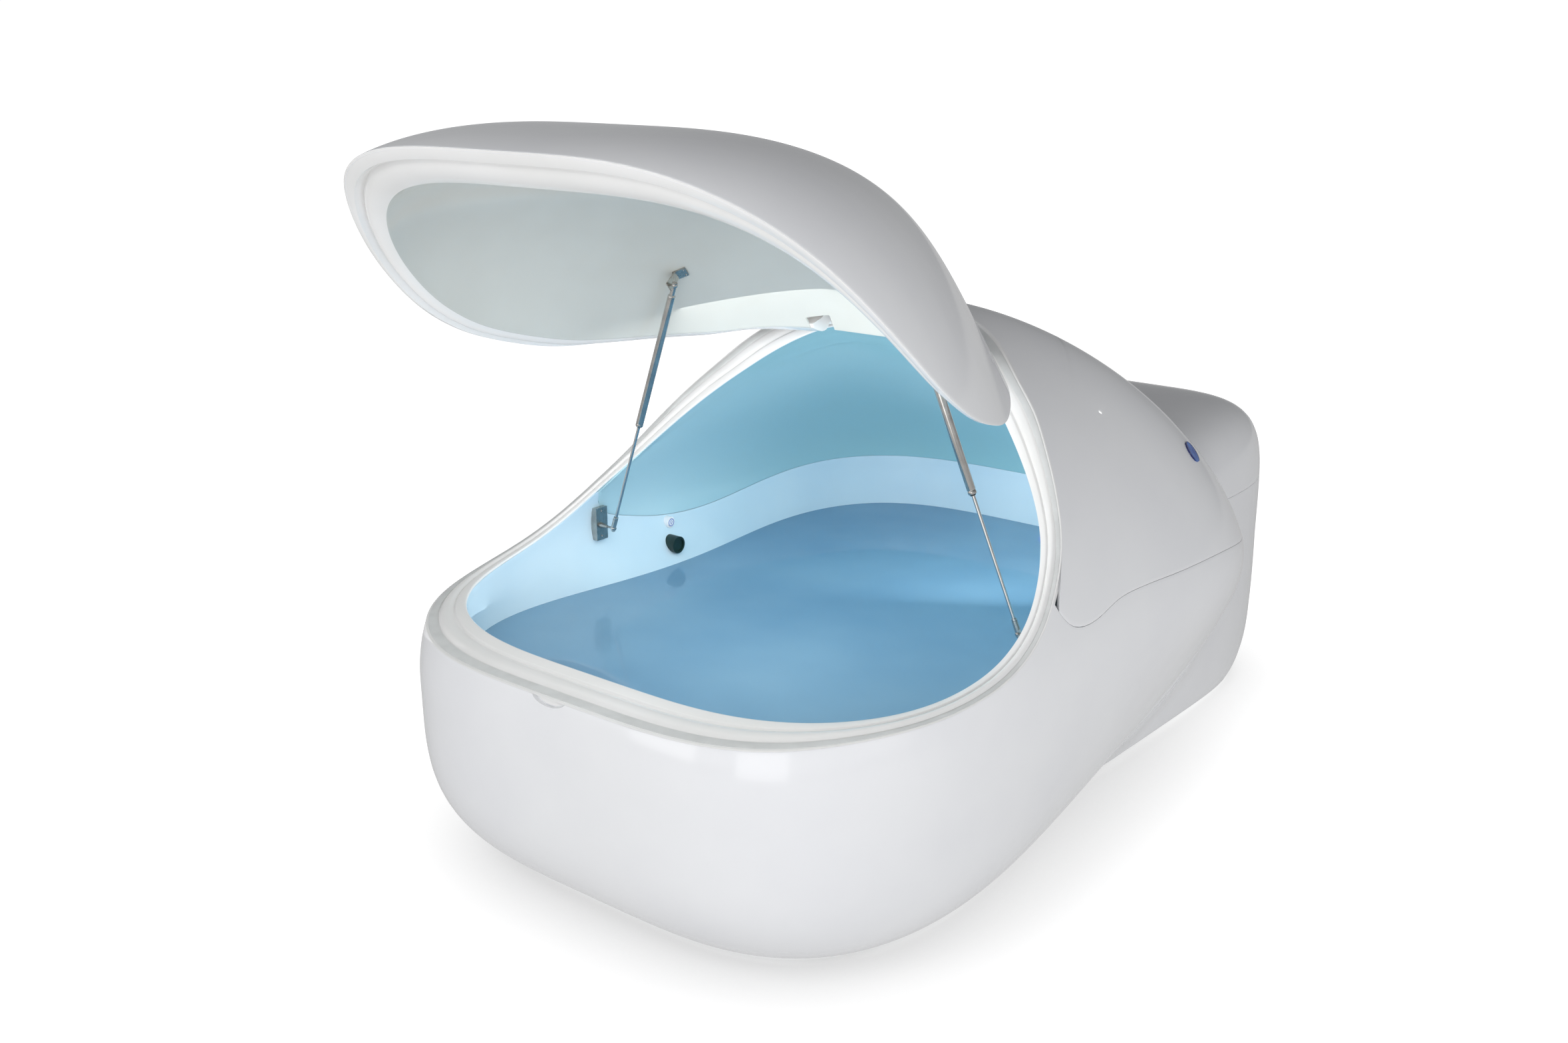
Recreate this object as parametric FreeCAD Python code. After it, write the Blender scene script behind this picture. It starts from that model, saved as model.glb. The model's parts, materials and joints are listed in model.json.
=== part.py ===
import FreeCAD, Part
import math
import os

os.makedirs("parts", exist_ok=True)
V = FreeCAD.Vector

# ------------------------------------------------------------------ driving sizes, mm
# y is drawn from the front of the rim and moved to the row's origin when a part is saved.
ORIGIN_Y = 1393.2          # row origin behind the rim front

# outer hull (egg)
HULL_HALF_WIDTH = 876.2
HULL_MID_Y = 1118.0
HULL_FRONT = 1173.1
HULL_REAR = 1083.6
HULL_MID_Z = 469.7
HULL_TOP = 962.6
HULL_LOW = 565.2
WAIST_Y = 1455.4
WAIST_SOFT = 436.5
WAIST_DEPTH = 0.587
WAIST_Z = 693.6
# plant box behind the hull
BOX_HALF_WIDTH = 560.0
BOX_MID_Y = 1960.0
BOX_REAR = 940.4
BOX_FRONT = 504.0
BOX_MID_Z = 504.0
BOX_TOP = 423.8
BOX_LOW = 627.3
BOX_BLEND = 174.5
BOX_POWER = 5.0
BOX_AT = (2240.0, 560.0)   # y, z where the box sizes hold
BOX_WIDER = (0.0000149, -0.0001250)
BOX_HIGHER = 0.0001692
BOX_LONGER = 0.0001702
# inner cavity
TUB_HALF_WIDTH = 809.6
TUB_MID_Y = 1007.4
TUB_FRONT = 904.3
TUB_REAR = 1187.4
TUB_MID_Z = 631.2
TUB_TOP = 717.7
TUB_LOW = 381.0
TUB_WAIST = 0.250
TUB_WAIST_AT = (1129.9, 544.2)
TUB_WAIST_RUN = (616.0, 89.6)
# how square each form is: plan front, plan rear, crown front, crown rear, keel
HULL_POWERS = (2.97, 4.50, 1.44, 1.57, 2.90)
TUB_POWERS = (2.97, 3.46, 1.25, 1.38, 3.96)
MIDDLE_RUN = 179.2         # length over which front turns into rear
SOFT = 0.15                # rounding of the middle lines
# mouldings
SHELL = 9.0                # outer shell thickness
LID_SKIN = 7.0
LINER = 8.0                # tub and hood liner
LID_LINER = 5.0
RIM_H = 30.0               # depth of the rim mouldings
RIM_GAP = 5.0              # lid to rim, closed
SEAM_GAP = 2.0
SEAT = 8.0                 # ledge below the parting line
SEAT_FROM = 0.68           # share of the way from the cavity to the hull
GASKET_FROM = 0.76
GASKET_TO = 0.93
GASKET_TOP = 5.0
FLANGE_T = 8.0
FLANGE_W = 75.0
FLOOR_CLEAR = 12.0
# lid hinge
HINGE_Y = 1198.0
HINGE_Z = 1376.0
LID_OPEN = 51.7            # degrees, rest pose
ROLL_R = 80.0

STEPS = 96                 # columns round the hull
CENTRE = (0.0, 1300.0, 560.0)
WIDE = 1400.0
HIGH = 2600.0
FRONT = -600.0
REAR = 3400.0


# ------------------------------------------------------------------ hull and cavity rules
def soft(t):
    """|t| with its corner at 0 rounded, still 1 at 1"""
    return (math.sqrt(t * t + SOFT * SOFT) - SOFT) / (math.sqrt(1.0 + SOFT * SOFT) - SOFT)


def superegg(x, y, z, half, yc, lf, lr, zc, ht, hb, powers):
    nf, nr, qf, qr, qb = powers
    rear = 1.0 / (1.0 + math.exp(-max(-30.0, min(30.0, (y - yc) / MIDDLE_RUN))))
    n = nf + (nr - nf) * rear
    q = qf + (qr - qf) * rear if z > zc else qb
    plan = (soft(x / half) ** n + soft((y - yc) / (lf if y < yc else lr)) ** n) ** (1.0 / n)
    return (plan ** q + soft((z - zc) / (ht if z > zc else hb)) ** q) ** (1.0 / q)


def hull(x, y, z):
    side = 1.0 / (1.0 + math.exp(-(y - WAIST_Y) / WAIST_SOFT))
    low = min(1.2, max(0.0, (WAIST_Z - z) / WAIST_Z))
    half = HULL_HALF_WIDTH * (1.0 - WAIST_DEPTH * side * low ** 1.5)
    egg = (superegg(x, y, z, half, HULL_MID_Y, HULL_FRONT, HULL_REAR, HULL_MID_Z, HULL_TOP,
                    HULL_LOW, HULL_POWERS) - 1.0) * HULL_HALF_WIDTH
    back, up = y - BOX_AT[0], z - BOX_AT[1]
    w = BOX_HALF_WIDTH * (1.0 + BOX_WIDER[0] * back + BOX_WIDER[1] * up)
    t = BOX_TOP * (1.0 + BOX_HIGHER * back) if z > BOX_MID_Z else BOX_LOW
    r = BOX_REAR * (1.0 + BOX_LONGER * up) if y > BOX_MID_Y else BOX_FRONT
    plan = (abs(x / w) ** BOX_POWER + abs((y - BOX_MID_Y) / r) ** BOX_POWER) ** (1.0 / BOX_POWER)
    box = (plan ** BOX_POWER + abs((z - BOX_MID_Z) / t) ** BOX_POWER) ** (1.0 / BOX_POWER)
    box = (box - 1.0) * BOX_HALF_WIDTH
    h = min(1.0, max(0.0, 0.5 + 0.5 * (box - egg) / BOX_BLEND))
    return box * (1.0 - h) + egg * h - BOX_BLEND * h * (1.0 - h)


def cavity(x, y, z):
    waist = TUB_WAIST * math.exp(-((y - TUB_WAIST_AT[0]) / TUB_WAIST_RUN[0]) ** 2)
    waist /= 1.0 + math.exp((z - TUB_WAIST_AT[1]) / TUB_WAIST_RUN[1])
    return (superegg(x, y, z, TUB_HALF_WIDTH * (1.0 - waist), TUB_MID_Y, TUB_FRONT, TUB_REAR,
                     TUB_MID_Z, TUB_TOP, TUB_LOW, TUB_POWERS) - 1.0) * TUB_HALF_WIDTH


def reach(rule, d, inset=0.0):
    """distance from CENTRE along d to the surface, moved in by inset along its normal"""
    lo, hi = 0.0, 2600.0
    for _ in range(32):
        m = 0.5 * (lo + hi)
        if rule(CENTRE[0] + d[0] * m, CENTRE[1] + d[1] * m, CENTRE[2] + d[2] * m) < 0.0:
            lo = m
        else:
            hi = m
    if inset:
        p = [CENTRE[k] + d[k] * lo for k in range(3)]
        g = []
        for k in range(3):
            a, b = list(p), list(p)
            a[k] += 1.0
            b[k] -= 1.0
            g.append(rule(*a) - rule(*b))
        size = math.sqrt(g[0] ** 2 + g[1] ** 2 + g[2] ** 2)
        facing = (g[0] * d[0] + g[1] * d[1] + g[2] * d[2]) / size
        lo -= inset / max(0.3, facing)
    return lo


def smooth(row):
    """control values of the uniform closed cubic spline through row"""
    n = len(row)
    c = list(row)
    for _ in range(26):
        c = [tuple((6.0 * row[i][k] - c[i - 1][k] - c[(i + 1) % n][k]) / 4.0 for k in range(3))
             for i in range(n)]
    return c


def skin(radius):
    """closed solid whose surface stands radius(direction) from CENTRE"""
    n, half = STEPS, STEPS // 2
    ring = []
    for i in range(half + 1):
        az = 2.0 * math.pi * i / n
        col = []
        for j in range(half + 1):
            el = math.pi * j / half - 0.5 * math.pi
            d = (math.cos(el) * math.sin(az), -math.cos(el) * math.cos(az), math.sin(el))
            r = radius(d)
            col.append((CENTRE[0] + d[0] * r, CENTRE[1] + d[1] * r, CENTRE[2] + d[2] * r))
        ring.append(col)
    ring += [[(-x, y, z) for x, y, z in ring[n - i]] for i in range(half + 1, n)]
    poles = [None] * n
    for i in range(half):
        loop = smooth(ring[i] + ring[i + half][-2:0:-1])
        poles[i] = {j: loop[j % n] for j in range(-1, half + 2)}
        poles[i + half] = {j: loop[(n - j) % n] for j in range(-1, half + 2)}
    rows = {j: smooth([poles[i][j] for i in range(n)]) for j in range(-1, half + 2)}
    knots = [float(k) for k in range(-3, half + 4)]
    faces = []
    for start in (0, half):
        grid = [[V(*rows[j][(start + i) % n]) for j in range(-1, half + 2)]
                for i in range(-1, half + 2)]
        s = Part.BSplineSurface()
        s.buildFromPolesMultsKnots(grid, [1] * len(knots), [1] * len(knots), knots, knots,
                                   False, False, 3, 3)
        s.segment(0.0, float(half), 0.0, float(half))
        faces.append(s.toShape())
    shell = Part.makeShell(faces)
    shell.sewShape()
    solid = Part.Solid(shell.Shells[0] if shell.ShapeType != "Shell" else shell)
    if solid.Volume < 0:
        solid.reverse()
    return solid


# ------------------------------------------------------------------ parting tools
PARTING = [(-400, 632), (-200, 638), (0, 644), (152, 659), (335, 670), (532, 690), (620, 708),
           (696, 733), (765, 765), (825, 802), (880, 842), (933, 885), (980, 930), (1021, 979),
           (1058, 1029), (1094, 1081), (1130, 1132), (1166, 1185), (1194, 1240), (1227, 1286)]
for turn in (-40, -20, 0, 20, 40):
    a = math.radians(turn)
    PARTING.append((HINGE_Y + ROLL_R * math.cos(a), HINGE_Z + ROLL_R * math.sin(a)))
SEAM = [(848, 900), (849, 850), (856, 800), (872, 765), (897, 741), (930, 729), (975, 725),
        (1040, 731), (1120, 745), (1216, 748), (1458, 735), (1792, 716), (1994, 692), (2400, 674),
        (3100, 668)]
LINER_SEAM = [(852, 900), (854, 850), (862, 790), (880, 748), (915, 720), (961, 704), (1099, 671),
              (1291, 651), (1512, 657), (1731, 677), (1911, 690), (2190, 694), (2600, 700)]


def spline(points):
    c = Part.BSplineCurve()
    c.interpolate([V(0, y, z) for y, z in points])
    return c


def prism(curve, corners):
    """solid across the pod between the curve and the straight corners"""
    a, b = curve.value(curve.FirstParameter), curve.value(curve.LastParameter)
    pts = [b] + [V(0, y, z) for y, z in corners] + [a]
    edges = [curve.toShape()] + [Part.makeLine(pts[i], pts[i + 1]) for i in range(len(pts) - 1)]
    face = Part.Face(Part.Wire(edges))
    face.translate(V(-WIDE, 0, 0))
    return face.extrude(V(2 * WIDE, 0, 0))


def lid_side(gap):
    """everything on the lid's side of the parting line moved gap towards the lid"""
    base = spline(PARTING)
    out = []
    for i in range(41):
        u = base.FirstParameter + (base.LastParameter - base.FirstParameter) * i / 40.0
        p, t = base.value(u), base.tangent(u)[0]
        out.append((p.y - t.z * gap, p.z + t.y * gap))
    front = out[0][0] - 20.0
    return prism(spline(out), [(out[-1][0] - 300.0, HIGH), (front, HIGH), (front, out[0][1])])


def rear_side(points, gap):
    """everything above and behind a moulding seam"""
    c = spline([(y + gap, z + gap) for y, z in points])
    return prism(c, [(3200.0, points[-1][1] + gap), (3200.0, HIGH), (points[0][0] + gap, HIGH)])


def block(x0, x1, y0, y1, z0, z1):
    return Part.makeBox(x1 - x0, y1 - y0, z1 - z0, V(x0, y0, z0))


def rod(a, b, r):
    d = V(*b) - V(*a)
    return Part.makeCylinder(r, d.Length, V(*a), d)


def ball(p, r):
    """ball with its poles on a line along x"""
    return Part.makeSphere(r, V(*p), V(1, 0, 0))


def bar(points, x0, x1, w):
    """flat bar of width w along points (y, z), between x0 and x1"""
    body = None
    for i, (y, z) in enumerate(points):
        s = rod((x0, y, z), (x1, y, z), w / 2.0)
        if i:
            y0, z0 = points[i - 1]
            run = math.hypot(y - y0, z - z0)
            b = Part.makeBox(x1 - x0, run, w, V(x0, 0, -w / 2.0))
            b.rotate(V(0, 0, 0), V(1, 0, 0), math.degrees(math.atan2(z - z0, y - y0)))
            b.translate(V(0, y0, z0))
            s = s.fuse(b)
        body = s if body is None else body.fuse(s)
    return body.removeSplitter()


def pipe(points, r, wall=3.0):
    def run(q):
        body = None
        for i in range(len(points) - 1):
            s = rod(points[i], points[i + 1], q)
            if i:
                s = s.fuse(ball(points[i], q))
            body = s if body is None else body.fuse(s)
        return body
    return run(r).cut(run(r - wall))


def mirror(shape):
    return shape.mirror(V(0, 0, 0), V(1, 0, 0))


def find(rule, p, axis):
    """the surface's coordinate along axis from p, going out from CENTRE"""
    lo, hi = CENTRE[axis], CENTRE[axis] + (2500.0 if p[axis] > CENTRE[axis] else -2500.0)
    for _ in range(40):
        m = 0.5 * (lo + hi)
        q = list(p)
        q[axis] = m
        if rule(*q) < 0.0:
            lo = m
        else:
            hi = m
    return lo


# ------------------------------------------------------------------ skins
hull_0 = skin(lambda d: reach(hull, d))
hull_in = skin(lambda d: reach(hull, d, SHELL))
hull_lid = skin(lambda d: reach(hull, d, LID_SKIN))
tub_0 = skin(lambda d: reach(cavity, d))
tub_out = skin(lambda d: reach(cavity, d, -LINER))
lid_tub = skin(lambda d: reach(cavity, d, -LID_LINER))


def between(f):
    """surface part of the way from the cavity to the hull"""
    return skin(lambda d: (1.0 - f) * reach(cavity, d) + f * reach(hull, d))


parts = {}
bodies = {}


def add(node, shape, body="base"):
    parts[node] = max(shape.Solids, key=lambda s: s.Volume)
    bodies[node] = body


# ------------------------------------------------------------------ shells and mouldings
SCOOP_AT = (-20.0, -50.0, 636.0)
SCOOP_SIZE = (58.0, 30.0, 25.0)
SCOOP_SINK = 2.0

below_clear = block(-WIDE, WIDE, FRONT, REAR, -800.0, FLOOR_CLEAR)
wall = hull_0.cut(hull_in)
above_ledge = lid_side(-SEAT)
under_rim = lid_side(-RIM_H)
hood_zone = rear_side(SEAM, SEAM_GAP / 2.0)
front_zone = rear_side(SEAM, -SEAM_GAP / 2.0)
stretch = FreeCAD.Matrix()
stretch.scale(*SCOOP_SIZE)
scoop = ball((0, 0, 0), 1.0).transformGeometry(stretch)
scoop.translate(V(SCOOP_AT[0], find(hull, SCOOP_AT, 1) - SCOOP_SINK, SCOOP_AT[2]))

lower = wall.cut(above_ledge)
flange = hull_in.common(block(-WIDE, WIDE, FRONT, REAR, FLOOR_CLEAR, FLOOR_CLEAR + FLANGE_T))
flange = flange.cut(skin(lambda d: reach(hull, d, FLANGE_W)))
body_shell = lower.cut(front_zone).cut(below_clear).fuse(flange).cut(scoop)
hood_shell = lower.common(hood_zone)

ring = hull_in.cut(tub_0).cut(lid_side(-RIM_GAP / 2.0)).common(under_rim)
ring = ring.cut(hull_in.cut(between(SEAT_FROM)).common(above_ledge))
rim_front = ring.cut(front_zone).cut(scoop)
rim_hood = ring.common(hood_zone)
gasket = between(GASKET_TO).cut(between(GASKET_FROM)).common(above_ledge).cut(lid_side(-GASKET_TOP))

liner = tub_out.cut(tub_0).cut(under_rim)
tub_liner = liner.cut(rear_side(LINER_SEAM, -SEAM_GAP / 2.0))
hood_liner = liner.common(rear_side(LINER_SEAM, SEAM_GAP / 2.0))

# ------------------------------------------------------------------ lid, drawn closed
over = lid_side(RIM_GAP / 2.0)
lid_shell = hull_0.cut(hull_lid).common(over)
lid_rim = hull_lid.cut(lid_tub).common(over).cut(lid_side(RIM_GAP / 2.0 + RIM_H))
lid_liner = lid_tub.cut(tub_0).common(over)

# ------------------------------------------------------------------ lid hinges
HINGE_X = 150.0
PIN_R = 5.0
PIN_GAP = 0.5
PIN_END = 3.0
LEAF = 8.0
LEAF_GAP = 2.0
KNUCKLE_R = 14.0
FIXED_ARM_W = 16.0
LID_ARM_W = 22.0
POCKET_CLEAR = 15.0
FIXED_ARM = [(0.0, 0.0), (40.0, -50.0), (82.0, -66.0), (125.0, -50.0), (135.0, 0.0)]
LID_ARM = [(0.0, 0.0), (-100.0, 20.0)]
FIXED_PAD = (-30.0, 38.0, 112.0, 182.0, -12.0, 70.0)
LID_PAD = (-20.0, 48.0, -160.0, -70.0, 16.0, 80.0)
NOTCH = (-12.0, 32.0, -30.0, 140.0, -130.0, 10.0)


def at_hinge(points):
    return [(HINGE_Y + y, HINGE_Z + z) for y, z in points]


def hinge_rod(x0, x1, r):
    return rod((x0, HINGE_Y, HINGE_Z), (x1, HINGE_Y, HINGE_Z), r)


def hinge_block(x0, x1, y0, y1, z0, z1):
    return block(HINGE_X + x0, HINGE_X + x1, HINGE_Y + y0, HINGE_Y + y1, HINGE_Z + z0, HINGE_Z + z1)


lid_leaf_x = HINGE_X + LEAF + LEAF_GAP
hinge_end = lid_leaf_x + LEAF
fixed_leaf = bar(at_hinge(FIXED_ARM), HINGE_X, HINGE_X + LEAF, FIXED_ARM_W)
fixed_leaf = fixed_leaf.fuse(hinge_rod(HINGE_X, HINGE_X + LEAF, KNUCKLE_R))
fixed_leaf = fixed_leaf.fuse(hinge_block(*FIXED_PAD)).common(hull_in)
fixed_leaf = fixed_leaf.fuse(hinge_rod(HINGE_X - PIN_END, hinge_end + PIN_END + 1.0, PIN_R))
lid_leaf = bar(at_hinge(LID_ARM), lid_leaf_x, hinge_end, LID_ARM_W)
lid_leaf = lid_leaf.fuse(hinge_rod(lid_leaf_x, hinge_end, KNUCKLE_R))
lid_leaf = lid_leaf.fuse(hinge_block(*LID_PAD)).common(hull_lid)
lid_leaf = lid_leaf.cut(hinge_rod(0.0, 2.0 * HINGE_X, PIN_R + PIN_GAP))
notch = hinge_block(*NOTCH)
pocket_end = HINGE_X + NOTCH[1]
lid_rim = lid_rim.cut(hinge_rod(-pocket_end, pocket_end, ROLL_R + POCKET_CLEAR))
lid_liner = lid_liner.cut(notch).cut(mirror(notch))
for side, fixed, moving in (("r", fixed_leaf, lid_leaf), ("l", mirror(fixed_leaf), mirror(lid_leaf))):
    rim_hood = rim_hood.cut(fixed)
    hood_liner = hood_liner.cut(fixed)
    add("hinge_leaf_fixed_" + side, fixed)
    add("hinge_leaf_lid_" + side, moving, "lid")

# ------------------------------------------------------------------ gas struts, drawn open
BALL_R = 5.0
BALL_GAP = 0.4
TUBE_R = 11.0
TUBE_BORE = 9.0
ROD_R = 4.5
PISTON_R = 8.6
WALL_BALL = (700.0, 863.5, 699.0)
LID_BALL = (395.0, 902.0, 1132.0)      # lid closed
GLAND = 363.0                          # wall ball to the tube's end, lid open
GLAND_L = 12.0
PISTON = (18.0, 34.0)                  # behind the gland
ROD_END = 22.0
STEM = 34.0
STEM_R = 7.5
STEM_FOOT = 8.0
CUP_R = 9.5
MOUTH = (2.6, 45.0, 18.0, 14.0)        # from the ball outwards, half sizes across
PIN_NECK = 3.2
PIVOT_GAP = 0.7
CHANNEL_AT = (0.03, 0.5, 0.97)         # moments of the closing travel
CHANNEL_L = 16.0
PLATE_X = (754.0, 860.0)
PLATE_Y = (-16.0, 29.0)                # from the wall ball
PLATE_Z = (652.0, 752.0)
CONE = (4.0, 9.0, 30.0)                # end, foot, length
CONE_X = 724.0
EAR_X = (15.0, 19.0)                   # from the lid's ball
EAR_HALF = 13.0
EAR_Z = (-8.0, 140.0)
PAD_AT = 10.0                          # from the lid's ball outwards
PAD_W = 38.0
PAD_L = 28.0
PAD_T = 5.0


def opened(p, angle=LID_OPEN):
    a = math.radians(angle)
    y, z = p[1] - HINGE_Y, p[2] - HINGE_Z
    return (p[0], HINGE_Y + math.cos(a) * y + math.sin(a) * z, HINGE_Z - math.sin(a) * y + math.cos(a) * z)


def span(x0, x1, y0, y1, z0, z1):
    return block(min(x0, x1), max(x0, x1), y0, y1, z0, z1)


def ball_channel(low, shut):
    """way out of the upper socket for the lid's ball, which leaves it sideways while the lid moves"""
    start, end = V(*opened(shut)) - V(*low), V(*shut) - V(*low)
    axis = start.cross(end)
    swing = math.degrees(start.getAngle(end))
    stroke = start.Length - end.Length
    slide = V(start).normalize()
    body = None
    for t in CHANNEL_AT:
        p = V(*opened(shut, LID_OPEN * (1.0 - t))) - V(*low)
        p = FreeCAD.Rotation(axis, -swing * t).multVec(p) + slide * (stroke * t)
        away = (p - start).normalize()
        way = rod(opened(shut), tuple(V(*low) + start + away * CHANNEL_L), BALL_R + PIVOT_GAP)
        body = way if body is None else body.fuse(way)
    return body


def socket(centre, u, sx):
    """ball socket with its mouth to the outside and its stem along u"""
    at = [tuple(centre[k] + u[k] * t for k in range(3)) for t in (-STEM_FOOT, STEM)]
    cup = ball(centre, CUP_R).fuse(rod(at[0], at[1], STEM_R))
    x, y, z = centre
    near, far, dy, dz = MOUTH
    cup = cup.cut(span(x + sx * near, x + sx * far, y - dy, y + dy, z - dz, z + dz))
    return cup.cut(ball(centre, BALL_R + BALL_GAP))


def facing(rule, p):
    """unit normal of the rule's form at p"""
    slope = []
    for step in (V(1, 0, 0), V(0, 1, 0), V(0, 0, 1)):
        slope.append(rule(*(V(*p) + step)) - rule(*(V(*p) - step)))
    return V(*slope).normalize()


def lid_pad(x, y):
    """flat plate against the lid's liner above (x, y)"""
    p = (x, y, find(cavity, [x, y, HIGH], 2))
    pad = block(-PAD_W / 2, PAD_W / 2, -PAD_L / 2, PAD_L / 2, -PAD_T, 3.0 * PAD_T)
    pad.Placement = FreeCAD.Placement(V(*p), FreeCAD.Rotation(V(0, 0, 1), facing(cavity, p)))
    return pad


for sx, side in ((1.0, "r"), (-1.0, "l")):
    low = (sx * WALL_BALL[0], WALL_BALL[1], WALL_BALL[2])
    shut = (sx * LID_BALL[0], LID_BALL[1], LID_BALL[2])
    top = opened(shut)
    line = V(*top) - V(*low)
    strut_len = line.Length
    u = tuple(line.normalize())
    back = tuple(-k for k in u)

    def on_line(t0, t1, r):
        """round bar on the strut's line, from t0 to t1 above the wall ball"""
        a, b = [tuple(low[k] + u[k] * t for k in range(3)) for t in (t0, t1)]
        return rod(a, b, r)

    rod_part = on_line(ROD_END, GLAND + PISTON[0], ROD_R)
    rod_part = rod_part.fuse(on_line(GLAND + PISTON[0], GLAND + PISTON[1], PISTON_R))
    tube = on_line(GLAND, strut_len - STEM, TUBE_R)
    tube = tube.cut(on_line(GLAND + GLAND_L, strut_len - STEM - GLAND_L, TUBE_BORE))
    tube = tube.cut(on_line(GLAND - 5.0, GLAND + GLAND_L + 8.0, ROD_R + BALL_GAP))
    add("strut_socket_low_" + side, socket(low, u, sx).cut(on_line(ROD_END, STEM + 6.0, ROD_R)),
        "strut_rod_" + side)
    add("strut_rod_" + side, rod_part, "strut_rod_" + side)
    add("strut_tube_" + side, tube, "strut_tube_" + side)
    add("strut_socket_top_" + side, socket(top, back, sx).cut(ball_channel(low, shut)),
        "strut_tube_" + side)
    x, y, z = low
    plate = span(sx * PLATE_X[0], sx * PLATE_X[1], y + PLATE_Y[0], y + PLATE_Y[1], *PLATE_Z)
    plate = plate.common(tub_0).fuse(rod(low, (sx * (PLATE_X[0] + 2.0), y, z), PIN_NECK))
    plate = plate.fuse(ball(low, BALL_R)).fuse(Part.makeCone(*CONE, V(sx * CONE_X, y, z), V(sx, 0, 0)))
    add("strut_plate_" + side, plate)
    x, y, z = shut
    ear = span(x + sx * EAR_X[0], x + sx * EAR_X[1], y - EAR_HALF, y + EAR_HALF, z + EAR_Z[0], z + EAR_Z[1])
    pin = ball(shut, BALL_R).fuse(rod(shut, (x + sx * (EAR_X[0] + 1.0), y, z), PIN_NECK))
    bracket = ear.fuse(lid_pad(x + sx * PAD_AT, y)).common(tub_0).fuse(pin)
    add("strut_bracket_" + side, bracket, "lid")

# ------------------------------------------------------------------ frame and feet
MEMBER = 40.0
MEMBER_TOP = 60.0
MEMBER_Y = (350.0, 1500.0, 2620.0)
RAIL_X = 300.0
RAIL_HALF = 25.0
RAIL_TOP = 100.0
RAIL_Y = (330.0, 2640.0)
FOOT_Y = (520.0, 2400.0)
FOOT_R = 30.0
FOOT_H = 10.0
SCREW_R = 8.0
NUT_R = 14.0
NUT_Z = 50.0
CRADLE_Y = (600.0, 1700.0)
CRADLE_HALF = 420.0
CRADLE_TOP = 330.0

frame = None
for y in MEMBER_Y:
    member = block(-WIDE, WIDE, y - MEMBER / 2, y + MEMBER / 2, FLOOR_CLEAR + FLANGE_T, MEMBER_TOP)
    member = member.common(hull_in)
    frame = member if frame is None else frame.fuse(member)
for x in (-RAIL_X, RAIL_X):
    frame = frame.fuse(block(x - RAIL_HALF, x + RAIL_HALF, *RAIL_Y, MEMBER_TOP, RAIL_TOP))
add("base_frame", frame)
corners = [(x, y) for y in FOOT_Y for x in (-RAIL_X, RAIL_X)]
for n, (x, y) in enumerate(corners):
    foot = rod((x, y, 0.0), (x, y, FOOT_H), FOOT_R).fuse(rod((x, y, FOOT_H), (x, y, MEMBER_TOP), SCREW_R))
    add("foot_%d" % (n + 1), foot.fuse(rod((x, y, NUT_Z), (x, y, MEMBER_TOP), NUT_R)))
for n, y in enumerate(CRADLE_Y):
    cradle = block(-CRADLE_HALF, CRADLE_HALF, y - MEMBER / 2, y + MEMBER / 2, RAIL_TOP, CRADLE_TOP)
    add("cradle_%d" % (n + 1), cradle.cut(tub_out))

# ------------------------------------------------------------------ wall fittings
BUTTON_AT = (1161.0, 639.0)
BUTTON_R = 18.0
BUTTON_OUT = 11.0
CAP_R = 13.0
CAP_BORE = 13.4
CAP_X = (14.0, 9.2)                    # proud of the liner
CAP_FLOOR = 4.0
VENT_AT = (1146.0, 577.0)
VENT_R = 27.0
VENT_OUT = 28.0
VENT_BORE = 21.0
VENT_FLOOR = 24.0


def wall_piece(at, r, out):
    """round piece on the cavity's +X wall, its back on the liner, and where the wall is"""
    x = find(cavity, [900.0, at[0], at[1]], 0)
    return wall_rod(at, x - out, x + 60.0, r).common(tub_0), x


def wall_rod(at, x0, x1, r):
    return rod((x0, at[0], at[1]), (x1, at[0], at[1]), r)


ring_b, bx = wall_piece(BUTTON_AT, BUTTON_R, BUTTON_OUT)
ring_b = ring_b.cut(wall_rod(BUTTON_AT, bx - BUTTON_OUT - 1.0, bx - CAP_FLOOR, CAP_BORE))
add("button_ring", mirror(ring_b))
add("button_cap", mirror(wall_rod(BUTTON_AT, bx - CAP_X[0], bx - CAP_X[1], CAP_R)), "button")
vent, vx = wall_piece(VENT_AT, VENT_R, VENT_OUT)
add("vent_cap", mirror(vent.cut(wall_rod(VENT_AT, vx - VENT_OUT - 1.0, vx - VENT_FLOOR, VENT_BORE))))

# ------------------------------------------------------------------ rear wall fittings and drain
LED_AT = (0.0, 480.0)
LED_R = 34.0
LED_OUT = 9.0
LED_TAIL = (20.0, 2240.0)
FITTING_X = 200.0
FITTING_Z = 380.0
SUCTION_R = 42.0
RETURN_R = 34.0
FITTING_OUT = 7.0
FITTING_TAIL = (24.0, 2250.0)
FITTING_BORE = 17.0
DRAIN_Y = 1900.0
DRAIN_R = 45.0
DRAIN_OUT = 6.0
DRAIN_DOWN = 50.0
MAT_GAP = 3.0
MAT = (-330.0, 330.0, 650.0, 1650.0, 150.0, 330.0)


def rear_fitting(x, z, r, out, tail):
    """flanged fitting through the rear wall of the tub, and its hole"""
    y = find(cavity, [x, 2500.0, z], 1)
    head = rod((x, y - out, z), (x, y + 80.0, z), r).common(tub_0)
    body = rod((x, y - out, z), (x, tail[1], z), tail[0])
    return head.fuse(body), rod((x, y - 60.0, z), (x, y + 60.0, z), tail[0])


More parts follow.
